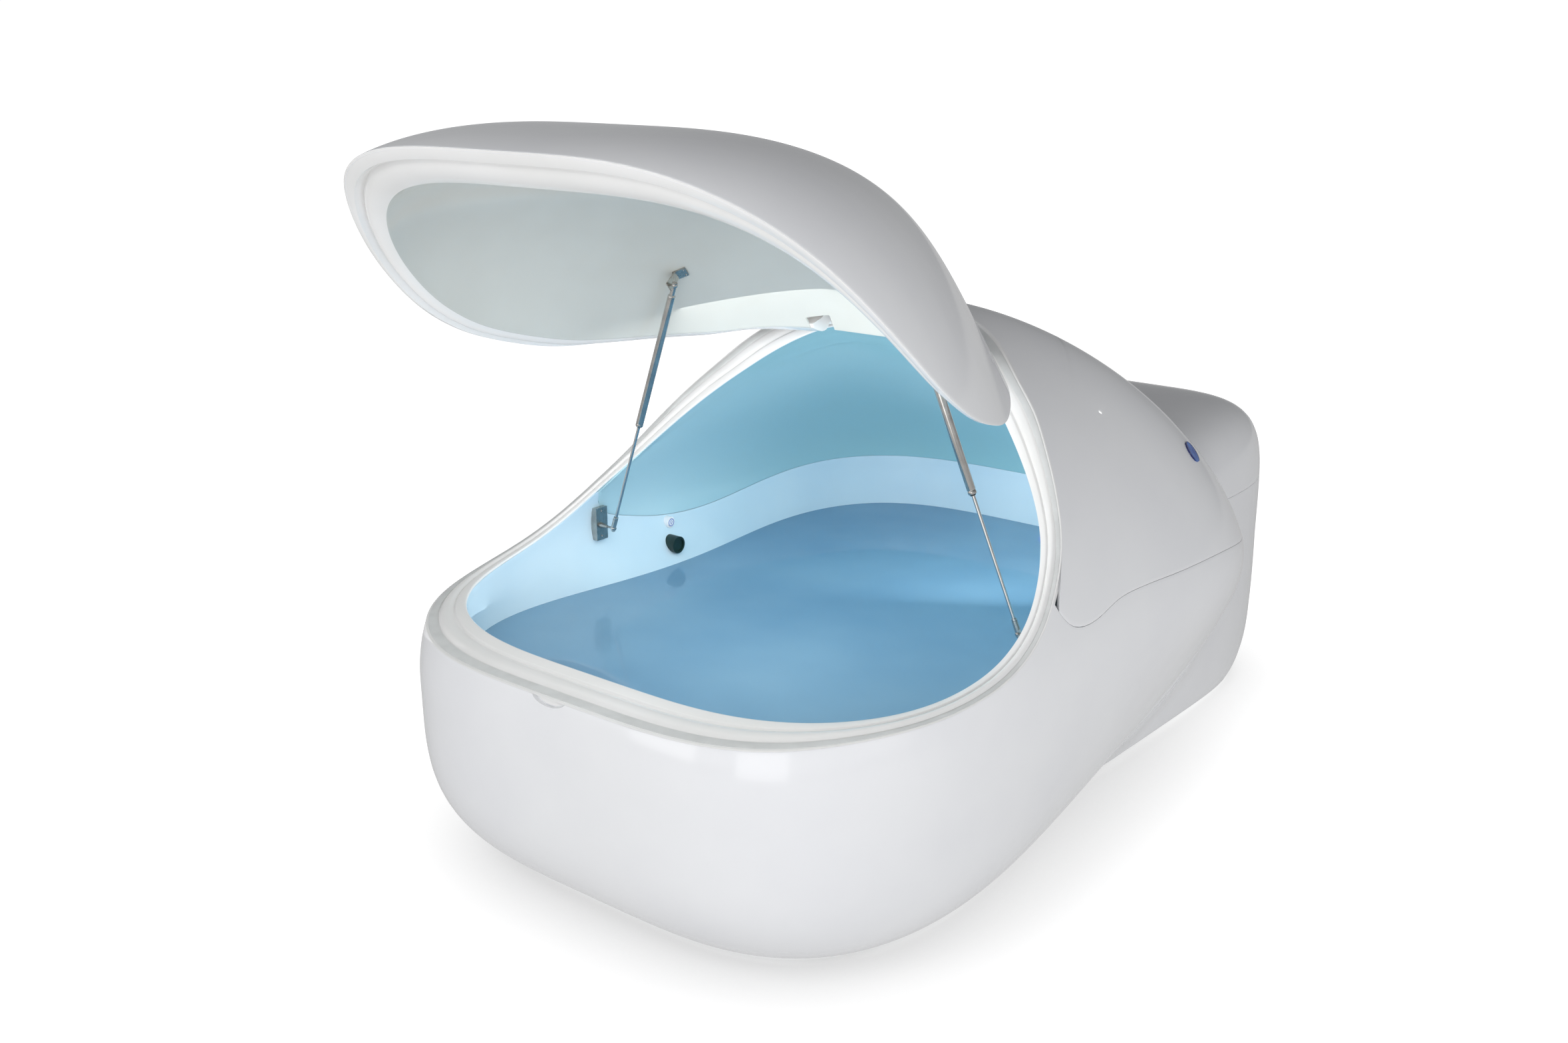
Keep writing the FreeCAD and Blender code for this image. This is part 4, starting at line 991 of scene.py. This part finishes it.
class POD_OT_shells(bpy.types.Operator):
    """Builds the lower shell with its finger scoop and service panel, and the hood over the plant"""
    bl_idname = "pod.shells"
    bl_label = "Shells"

    def execute(self, context):
        s = sizes()
        gel = MATERIALS["shell_gelcoat"]
        corners = on_line(PART_LINE, hull, SHELL_CORNER_Y)
        turn = azimuth(corners[0])
        fine = [(side - spread, side + spread, count) for side in (turn, -turn)
                for spread, count in ((6.0, 30), (0.5, 40))]
        grid = band(hull, lambda p: np.minimum(before(SHELL_SEAM, p), under_rim(p, SHELL_TOP, LEDGE_DROP)),
                    FLOOR_CLEAR, s.columns, rows=90, fine=fine)
        body = thick(band_object("body_shell_skin", grid, gel), s.shell_wall, s.edge)
        panel = cut(copy_of(body, "service_door"), box_tool(*DOOR, gel), operation="INTERSECT")
        low, high = np.array(DOOR) + ((-DOOR_GAP, 0.0, -DOOR_GAP), (DOOR_GAP, 0.0, DOOR_GAP))
        cut(body, box_tool(low, high, gel))
        cut(body, ball_tool(SCOOP_AT, SCOOP, gel))
        settle(body, "base", "shell_gelcoat", "body_shell")
        settle(panel, "base", "shell_gelcoat", "service_panel")
        self.scoop(s, gel)
        hood = patch_object("hood_shell_skin", patch(
            hull, REAR_POLE, lambda p: np.minimum(behind(SHELL_SEAM, p), under_rim(p, SHELL_TOP, LEDGE_DROP)),
            s.columns, rows=110, corners=corners), gel)
        settle(thick(hood, s.shell_wall, s.edge), "base", "shell_gelcoat", "hood_shell")
        return {"FINISHED"}

    def scoop(self, s, gel):
        """the bowl that lines the finger scoop, up to the ledge the lid closes on"""
        def form(p):
            return (np.sqrt((((p - np.array(SCOOP_AT)) / SCOOP) ** 2).sum(-1)) - 1.0) * SCOOP[2]

        def keep(p):
            return np.minimum(-hull(p) - s.shell_wall / MM + SCOOP_LAP, under_rim(p, LEDGE, LEDGE_DROP))

        bowl = patch_object("finger_scoop_bowl", patch(
            form, SCOOP_POLE, keep, columns=72, rows=18, start=np.array(SCOOP_AT)), gel, flip=True)
        settle(thick(bowl, SCOOP_WALL * MM, 0.4 * MM, side=1.0), "base", "shell_gelcoat")


class POD_OT_rim(bpy.types.Operator):
    """Builds the two rim mouldings, with their ledge, bead and groove, and the seal on the ledge"""
    bl_idname = "pod.rim"
    bl_label = "Rim"

    def execute(self, context):
        gel = MATERIALS["rim_gelcoat"]
        profile = [*arc(0, 2.0, LEDGE - 2.0, LEDGE_DROP, 2.0, 180, 90), (0.29, 0, LEDGE, LEDGE_DROP),
                   (0.30, 0, -4.2, 6.0), (0.32, 0, -3.3, 3.2), (0.345, 0, -2.8, 1.2), (0.38, 0, -2.55, 0.2),
                   (0.43, 0, -2.5, 0), (0.50, 0, -2.9, 0), (0.56, 0, -3.8, 0.3), (0.61, 0, -5.2, 0.6),
                   (0.64, 0, -6.2, 1), (0.655, 0, -6.5, 1), (0.67, 0, -6.0, 1), (0.685, 0, -4.2, 1),
                   (0.70, 0, -2.9, 1), (0.72, 0, -2.6, 1), (0.93, 0, -2.6, 1), (0.96, 0, -3.2, 1),
                   (0.985, 0, -5.0, 1), (0.997, 0, -8.0, 0.5), (1, 0, LINER_TOP + 1.0, 0),
                   (1, -8.8, LINER_TOP + 0.6, 0), (1, -8.8, -30, 0), (0, 9.6, -30, 0),
                   (0, 9.6, SHELL_TOP + 0.2, LEDGE_DROP), (0, 0, SHELL_TOP + 0.2, LEDGE_DROP)]
        front = lofted("rim_moulding_front", profile, gel)
        hood = copy_of(front, "rim_moulding_hood")
        slice_off(front, (0, RIM_SPLIT_Y, 0), (0, 1, 0), -SEAM_GAP / 2.0)
        slice_off(hood, (0, RIM_SPLIT_Y, 0), (0, -1, 0), -SEAM_GAP / 2.0)
        cut(front, ball_tool(SCOOP_AT, SCOOP, gel))
        for side in ("r", "l"):
            low, high = (to_drawing(c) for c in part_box("hinge_leaf_fixed_" + side))
            cut(hood, box_tool(low - LEAF_ROOM, high + LEAF_ROOM, gel))
        settle(front, "base", "rim_gelcoat", "rim_front")
        settle(hood, "base", "rim_gelcoat", "rim_hood")
        section = ((0.06, 0.1), (0.06, 0.9), (0.075, 1.5), (0.255, 1.5), (0.27, 0.9), (0.27, 0.1))
        strip = lofted("ledge_seal", [(share, 0, LEDGE + up, LEDGE_DROP) for share, up in section],
                       MATERIALS["gasket_foam"])
        settle(strip, "base", "gasket_foam", "rim_gasket")
        return {"FINISHED"}


# holes in the tub, each from a to b with its radius: rear lamp, suction, return and drain
HOLES = (((0.0, 2000.0, 480.0), (0.0, 2400.0, 480.0), 20.0),
         ((-200.0, 2000.0, 380.0), (-200.0, 2400.0, 380.0), 24.0),
         ((200.0, 2000.0, 380.0), (200.0, 2400.0, 380.0), 24.0),
         ((0.0, 1900.0, 100.0), (0.0, 1900.0, 400.0), 24.0))
WATER_GAP = 0.8
WATER_FILM = 2.5


class POD_OT_tub(bpy.types.Operator):
    """Builds the tub, the hood's lining and the water"""
    bl_idname = "pod.tub"
    bl_label = "Tub and water"

    def execute(self, context):
        s = sizes()
        corners = on_line(PART_LINE, cavity, TUB_CORNER_Y)
        tub = patch_object("tub_moulding", patch(
            cavity, TUB_POLE, lambda p: np.minimum(before(TUB_SEAM, p), under_rim(p, LINER_TOP)),
            s.columns, rows=110, corners=corners), MATERIALS["tub_gelcoat"], flip=True)
        thick(tub, s.liner_wall, s.edge)
        for a, b, r in HOLES:
            cut(tub, self.drill(a, b, r))
        settle(tub, "base", "tub_gelcoat", "tub_liner")
        lining = patch_object("hood_lining", patch(
            cavity, REAR_POLE, lambda p: np.minimum(behind(TUB_SEAM, p), under_rim(p, LINER_TOP)),
            s.columns, rows=100, corners=corners), MATERIALS["hood_gelcoat"], flip=True)
        thick(lining, s.liner_wall, s.edge)
        settle(lining, "base", "tub_gelcoat", "hood_liner")
        self.water(s)
        return {"FINISHED"}

    def drill(self, a, b, r):
        a, b = to_row([a, b])
        depth = (Vector(b) - Vector(a)).length / MM
        return lathe("tool", a, b, [(0.0, r), (depth, r)], MATERIALS["tub_gelcoat"])

    def water(self, s):
        """a film of water that meets the tub all round"""
        columns = 240
        phi = np.linspace(0.0, 2.0 * math.pi, columns, endpoint=False)
        d = np.stack([np.sin(phi), -np.cos(phi), np.zeros(columns)], -1)
        middle = np.array((0.0, 1100.0, s.water_level / MM))
        edge = reach(cavity, d, middle) - d * WATER_GAP
        shares = np.linspace(0.04, 1.0, 40)
        top = [middle + (edge - middle) * share for share in shares]
        rings = top + [ring - (0.0, 0.0, WATER_FILM) for ring in reversed(top)]
        grid = np.stack(rings, 1)
        n = len(rings)
        faces = grid_faces(columns, n)
        faces.append(tuple(i * n for i in range(columns)))
        faces.append(tuple(i * n + n - 1 for i in reversed(range(columns))))
        obj = new_object("brine", to_row(grid.reshape(-1, 3)), faces, MATERIALS["salt_water"])
        settle(smooth_by_angle(face_out(obj), 30.0), "base", "tub_gelcoat")


# section of the lid's edge, as for lofted: share across the rim, inset, height and dip
LID_EDGE = ((0, 7.4, 33, 0), (0, 7.4, LIP_LOW, LIP_DROP), (0, 0.8, LIP_LOW, LIP_DROP),
            *arc(0, 2.2, 4.0, LIP_DROP, 1.5, 180, 270),
            (0.27, 0, 2.5, 8), (0.285, 0, 3.2, 8), (0.29, 0, 5, 7.5), (0.295, 0, 12, 3), (0.31, 0, 14.5, 1),
            (0.335, 0, 15, 0), (0.37, 0, 13.5, 0), (0.42, 0, 9.5, 0), (0.48, 0, 6.5, 0), (0.55, 0, 5, 0),
            (0.63, 0, 5, 0), (0.72, 0, 6.5, 0), (0.82, 0, 10, 0), (0.92, 0, 15.5, 0), (1, 0, 21, 0),
            (1, -5, 22, 0), (1, -5, 33, 0))
HINGE_CLEAR = 95.0         # radius round the hinge line that the lid's edge keeps free, and half its length
HINGE_HALF = 182.0
PANEL_LOW = 21.0
PANEL_WALL = 5.0
SLOTS_X = (-190.0, 118.0)  # the panel's two openings for the hinge leaves
SLOT = ((0.0, 1181.0, 1240.0), (72.0, 1300.0, 1420.0))


class POD_OT_lid(bpy.types.Operator):
    """Builds the lid: its outer moulding, the rounded band round its edge, and the panel inside"""
    bl_idname = "pod.lid"
    bl_label = "Lid"

    def execute(self, context):
        s = sizes()
        shell = patch_object("lid_shell_skin", patch(
            hull, LID_POLE, lambda p: lip(p, LIP_LOW, LIP_DROP), s.columns, rows=120),
            MATERIALS["shell_gelcoat"], lid=True)
        settle(thick(shell, s.lid_wall, s.edge), "lid", "shell_gelcoat", "lid_shell")
        ring = lofted("lid_edge_band", LID_EDGE, MATERIALS["rim_gelcoat"], lid=True)
        across = [HINGE_AT + Vector((x * MM, 0.0, 0.0)) for x in (-HINGE_HALF, HINGE_HALF)]
        cut(ring, lathe("tool", *across, [(0.0, HINGE_CLEAR), (2.0 * HINGE_HALF, HINGE_CLEAR)],
                        MATERIALS["rim_gelcoat"], steps=72))
        settle(ring, "lid", "rim_gelcoat", "lid_rim")
        gel = MATERIALS["lid_panel"]
        panel = patch_object("lid_inner_panel", patch(
            cavity, LID_POLE, lambda p: PART_LINE.off(p) - PANEL_LOW, s.columns, rows=110), gel,
            lid=True, flip=True)
        thick(panel, PANEL_WALL * MM, s.edge)
        for x in SLOTS_X:
            low, high = np.array(SLOT) + (x, 0.0, 0.0)
            cut(panel, box_tool(low, high, gel, lid=True))
        settle(panel, "lid", "lid_panel", "lid_liner")
        return {"FINISHED"}


PLATE_FACE_X = 0.754       # face of the wall plates, and how far in their screws are, in metres
PLATE_SCREW_IN = 0.011
PAD_X = 405.0              # middle of the pads under the lid
PAD_Y = 902.0


class POD_OT_struts(bpy.types.Operator):
    """Builds the two gas struts with their glands, rods and end fittings, and the screws of their mounts"""
    bl_idname = "pod.struts"
    bl_label = "Gas struts"

    def execute(self, context):
        for side in ("r", "l"):
            low, u, end = strut_line(side)
            tube = [(363.0, 5.0), (363.0, 9.2), (363.6, 10.2), (365.0, 10.8), (368.0, 11.0), (371.0, 11.0),
                    (372.2, 10.4), (373.4, 10.1), (374.6, 10.4), (375.8, 11.0), (end - 7.0, 11.0),
                    (end - 5.0, 10.9), (end - 2.5, 10.0), (end - 1.0, 8.6), (end, 7.6), (end, 5.0)]
            obj = lathe("strut_cylinder_" + side, low, low + u, tube, MATERIALS["stainless"], ring=True)
            settle(obj, "strut_tube_" + side, "stainless", "strut_tube_" + side)
            wiper = [(359.5, 5.0), (360.0, 6.6), (361.0, 7.4), (364.0, 7.6), (364.0, 5.0)]
            obj = lathe("strut_wiper_" + side, low, low + u, wiper, MATERIALS["dark_seal"], ring=True)
            settle(obj, "strut_tube_" + side, "stainless")
            rod = [(22.0, 4.5), (34.0, 4.5), (34.0, 6.6), (34.6, 7.2), (40.4, 7.2), (41.0, 6.6), (41.0, 4.5),
                   (381.0, 4.5), (381.0, 8.6), (397.0, 8.6)]
            obj = lathe("strut_piston_rod_" + side, low, low + u, rod, MATERIALS["chrome_rod"])
            settle(obj, "strut_rod_" + side, "stainless", "strut_rod_" + side)
            for name in ("strut_socket_low_", "strut_socket_top_"):
                finish_node(name + side, "stainless")
            finish_node("strut_plate_" + side, "plate_steel")
            finish_node("strut_bracket_" + side, "plate_steel")
            self.screws(side)
        return {"FINISHED"}

    def screws(self, side):
        """two screws in the wall plate, and four in the pad under the lid"""
        sign = 1.0 if side == "r" else -1.0
        tree = screw_tree(MATERIALS["stainless"])
        lo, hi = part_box("strut_plate_" + side)
        points = [(sign * PLATE_FACE_X, 0.5 * (lo.y + hi.y), z)
                  for z in (lo.z + PLATE_SCREW_IN, hi.z - PLATE_SCREW_IN)]
        heads = grown(carrier("plate_screws_" + side, points, [(-sign, 0.0, 0.0)] * 2), tree)
        settle(heads, "base", "stainless")
        top = reach(cavity, np.array((0.0, 0.0, 1.0)), np.array((sign * PAD_X, PAD_Y, 700.0)))
        n = outward(cavity, top[None])[0]
        across = np.cross((0.0, 1.0, 0.0), n)
        across /= np.linalg.norm(across)
        along = np.cross(n, across)
        spots = np.array([top - n * PANEL_WALL + across * a + along * b
                          for a in (-13.0, 13.0) for b in (-9.0, 9.0)])
        ends = to_row(np.stack([spots, spots - n * 10.0]), lid=True)
        heads = grown(carrier("pad_screws_" + side, ends[0], list(ends[1] - ends[0])), tree,
                      head_diameter=6.0 * MM, head_height=2.0 * MM, recess_width=2.6 * MM)
        settle(heads, "lid", "stainless")


PRINT_LOW = -0.2           # the button's print, from inside its face to just above it
PRINT_HIGH = 0.35


class POD_OT_fittings(bpy.types.Operator):
    """Finishes the light button, vent cap, pool lamp, suction, return and drain"""
    bl_idname = "pod.fittings"
    bl_label = "Wall fittings"

    def execute(self, context):
        for name, material in (("button_ring", "button_plastic"), ("button_cap", "button_plastic"),
                               ("vent_cap", "cap_plastic"), ("led_rear", "led_lens"),
                               ("suction_fitting", "fitting_plastic"), ("return_fitting", "fitting_plastic"),
                               ("drain_fitting", "fitting_plastic")):
            finish_node(name, material)
        self.print_on_button()
        tree = grille_tree(MATERIALS["fitting_plastic"])
        for name in ("suction_fitting", "return_fitting"):
            lo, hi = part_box(name)
            at = (0.5 * (lo.x + hi.x), lo.y + 0.004, 0.5 * (lo.z + hi.z))
            grille = grown(carrier(name + "_grille", [at], [(0.0, -1.0, 0.0)]), tree)
            settle(grille, "base", "fitting_plastic")
        return {"FINISHED"}

    def print_on_button(self):
        """a ring and a lamp pictogram on the light button, as thin raised print"""
        lo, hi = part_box("button_cap")
        at = Vector((hi.x, 0.5 * (lo.y + hi.y), 0.5 * (lo.z + hi.z)))
        ink = MATERIALS["button_print"]
        marks = []
        for name, up, inner, outer, steps in (("ring", 0.0, 10.2, 12.2, 64), ("globe", 1.6, 3.4, 4.6, 40)):
            start = at + Vector((0, 0, up * MM))
            section = [(PRINT_LOW, inner), (PRINT_HIGH, inner), (PRINT_HIGH, outer), (PRINT_LOW, outer)]
            marks.append(lathe(name, start, start + Vector((1, 0, 0)), section, ink, steps=steps, ring=True))
        middle = to_drawing(at)
        for drop, half in ((4.4, 1.9), (6.0, 1.4)):
            marks.append(box_tool(middle + (PRINT_LOW, -half, -drop - 0.5),
                                  middle + (PRINT_HIGH, half, -drop + 0.5), ink))
        settle(joined("button_print", marks), "button", "button_plastic")


class POD_OT_plant(bpy.types.Operator):
    """Finishes the frame, the feet, the hinges and the plant behind the tub"""
    bl_idname = "pod.plant"
    bl_label = "Plant and frame"

    def execute(self, context):
        finishes = {
            "plate_steel": ("hinge_leaf_fixed_r", "hinge_leaf_fixed_l",
                            "hinge_leaf_lid_r", "hinge_leaf_lid_l"),
            "frame_metal": ("base_frame", "panel_frame"),
            "foot_metal": ("foot_1", "foot_2", "foot_3", "foot_4"),
            "cradle_foam": ("cradle_1", "cradle_2"),
            "heater_rubber": ("heater_mat",),
            "tray_metal": ("plant_tray",),
            "filter_plastic": ("filter_housing", "filter_lid"),
            "cartridge_paper": ("filter_cartridge",),
            "pump_metal": ("pump",),
            "uv_tube": ("uv_unit",),
            "control_case": ("control_box",),
            "pvc_pipe": ("pipe_suction", "pipe_pump", "pipe_filter", "pipe_return", "valve_suction"),
            "valve_plastic": ("valve_suction_lever",),
            "stainless": ("panel_screw_1", "panel_screw_2"),
            "badge_enamel": ("badge",),
        }
        for material, nodes in finishes.items():
            for name in nodes:
                finish_node(name, material)
        return {"FINISHED"}


# name, place, aim, size in m, power in W, tint, and whether glossy surfaces mirror it
LAMPS = (("key", (-1.9, -6.4, 1.5), (0.0, -0.6, 0.9), 2.4, 24.0, (1.0, 1.0, 0.99), True),
         ("front", (2.4, -6.0, 1.2), (0.2, -0.6, 1.0), 2.6, 32.0, (1.0, 1.0, 1.0), True),
         ("side", (5.5, -1.6, 1.9), (0.5, -0.3, 1.2), 2.4, 86.0, (1.0, 1.0, 1.0), False),
         ("over", (0.3, -4.4, 3.4), (0.0, -1.3, 0.7), 1.8, 50.0, (1.0, 1.0, 1.0), False),
         ("pool", (0.0, -0.72, 1.3), (0.0, -0.45, 0.5), 0.9, 5.5, (1.0, 0.98, 0.95), False),
         ("hood", (0.35, -0.05, 0.9), (-0.4, 1.1, 1.25), 0.5, 4.2, (1.0, 0.98, 0.95), False),
         ("bounce", (0.1, -1.25, 0.68), (0.0, -1.15, 1.7), 1.5, 6.0, (1.0, 0.97, 0.94), False))
ZENITH = 0.1               # the room's brightness overhead, and at eye level before and behind the pod
BEFORE = 0.95
BEHIND = 0.32
FLOOR_LEVEL = 1.6          # the floor's own white before the camera, and what it sends up to the pod
FLOOR_BOUNCE = 0.62
PAINTED_SHADE_REACH = 0.4              # metres round the pod that the shade painted into the floor's glow reaches
FLOOR_GLOW = 0.68          # share of the floor's light that is its own
FLOOR_HALF = 60.0
SEEN = 1.02                # the room as the camera sees it: white
CAMERA_AT = (2.60398, -3.7801, 2.1152)
CAMERA_TURN = (73.15, 0.0, 39.17)   # degrees about X, Y and Z
SENSOR = 36.0              # mm
LENS = 37.115


class POD_OT_stage(bpy.types.Operator):
    """Adds the white floor, the soft lights and the camera"""
    bl_idname = "pod.stage"
    bl_label = "Stage"

    def execute(self, context):
        scene = context.scene
        scene.view_settings.view_transform = "Standard"
        self.floor()
        self.world(scene)
        for name, at, aim, size, power, tint, mirrored in LAMPS:
            light = bpy.data.lights.new(name, "AREA")
            light.size, light.energy, light.color = size, power, tint
            obj = bpy.data.objects.new(name, light)
            obj.location = at
            obj.rotation_euler = (Vector(aim) - Vector(at)).to_track_quat("-Z", "Y").to_euler()
            obj.visible_camera = False
            obj.visible_glossy = mirrored
            scene.collection.objects.link(obj)
        camera = bpy.data.cameras.new("camera")
        camera.sensor_width, camera.lens = SENSOR, LENS
        obj = bpy.data.objects.new("camera", camera)
        obj.location = CAMERA_AT
        obj.rotation_euler = [math.radians(a) for a in CAMERA_TURN]
        scene.collection.objects.link(obj)
        scene.camera = obj
        return {"FINISHED"}

    def floor(self):
        """white painted board with a faint roller texture; it glows white, but for a painted contact shadow
        that dims its glow near the pod
        """
        m, tree, shader, place = new_material("white_studio_floor")
        tree.links.new(blotches(tree, place, 900.0, "F4F4F4", "F1F1F1"), shader.inputs["Base Color"])
        tree.links.new(roughness(tree, place, 60.0, 0.85, 0.95), shader.inputs["Roughness"])
        tree.links.new(waviness(tree, place, 4.0, 0.05), shader.inputs["Normal"])
        shader.inputs["Specular IOR Level"].default_value = 0.1
        # painted contact shadow: ambient occlusion dims the floor's glow round the pod
        near = node(tree, "ShaderNodeAmbientOcclusion", {"Distance": PAINTED_SHADE_REACH})
        white = math_node(tree, "MULTIPLY", near.outputs["AO"], FLOOR_LEVEL - FLOOR_BOUNCE)
        level = math_node(tree, "ADD", math_node(tree, "MULTIPLY", self.seen(tree), white), FLOOR_BOUNCE)
        glow = node(tree, "ShaderNodeEmission", {"Color": (1.0, 1.0, 1.0, 1.0), "Strength": level})
        both = node(tree, "ShaderNodeMixShader", {0: FLOOR_GLOW, 1: shader.outputs[0], 2: glow.outputs[0]})
        out = next(n for n in tree.nodes if n.type == "OUTPUT_MATERIAL")
        tree.links.new(both.outputs[0], out.inputs["Surface"])
        verts = [(x * FLOOR_HALF, y * FLOOR_HALF, 0.0) for x, y in ((-1, -1), (1, -1), (1, 1), (-1, 1))]
        new_object("studio_floor", verts, [(0, 1, 2, 3)], m, smooth=False)

    def seen(self, tree):
        """1 where the camera looks straight or through clear water"""
        path = node(tree, "ShaderNodeLightPath")
        return math_node(tree, "MAXIMUM", path.outputs["Is Camera Ray"], path.outputs["Is Transmission Ray"])

    def world(self, scene):
        world = bpy.data.worlds.new("studio")
        scene.world = world
        world.use_nodes = True
        tree = world.node_tree
        tree.nodes.clear()
        around = node(tree, "ShaderNodeTexCoord").outputs["Generated"]
        view = node(tree, "ShaderNodeSeparateXYZ", {"Vector": around})
        level = node(tree, "ShaderNodeMapRange", {"Value": view.outputs["Y"], "From Min": -1.0,
                                                  "To Min": BEFORE, "To Max": BEHIND}).outputs[0]
        high = node(tree, "ShaderNodeMapRange", {"Value": view.outputs["Z"], "From Max": 0.8})
        drop = math_node(tree, "MULTIPLY", high.outputs[0], math_node(tree, "SUBTRACT", level, ZENITH))
        strength = math_node(tree, "SUBTRACT", level, drop)
        room = node(tree, "ShaderNodeBackground", {"Color": (0.97, 0.98, 1.0, 1.0), "Strength": strength})
        seen = node(tree, "ShaderNodeBackground", {"Color": (1.0, 1.0, 1.0, 1.0), "Strength": SEEN})
        both = node(tree, "ShaderNodeMixShader", {0: self.seen(tree), 1: room.outputs[0], 2: seen.outputs[0]})
        node(tree, "ShaderNodeOutputWorld", {"Surface": both.outputs[0]})


class POD_PT_panel(bpy.types.Panel):
    """Sidebar panel with one button per group of the pod"""
    bl_idname = "POD_PT_panel"
    bl_label = "Float pod"
    bl_space_type = "VIEW_3D"
    bl_region_type = "UI"
    bl_category = "Float pod"

    def draw(self, context):
        for name in PodSettings.__annotations__:
            self.layout.prop(context.scene.pod, name)
        for kind in OPERATORS:
            self.layout.operator(kind.bl_idname)


OPERATORS = (POD_OT_shells, POD_OT_rim, POD_OT_tub, POD_OT_lid, POD_OT_struts, POD_OT_fittings, POD_OT_plant,
             POD_OT_stage)
CLASSES = (PodSettings, *OPERATORS, POD_PT_panel)


def register():
    for kind in CLASSES:
        bpy.utils.register_class(kind)
    bpy.types.Scene.pod = bpy.props.PointerProperty(type=PodSettings)


def unregister():
    del bpy.types.Scene.pod
    for kind in reversed(CLASSES):
        bpy.utils.unregister_class(kind)


def main():
    register()
    MATERIALS.update(make_materials())
    for kind in OPERATORS:
        group, name = kind.bl_idname.split(".")
        if getattr(getattr(bpy.ops, group), name)() != {"FINISHED"}:
            raise RuntimeError(kind.bl_label + " did not finish")


if __name__ == "__main__":
    main()
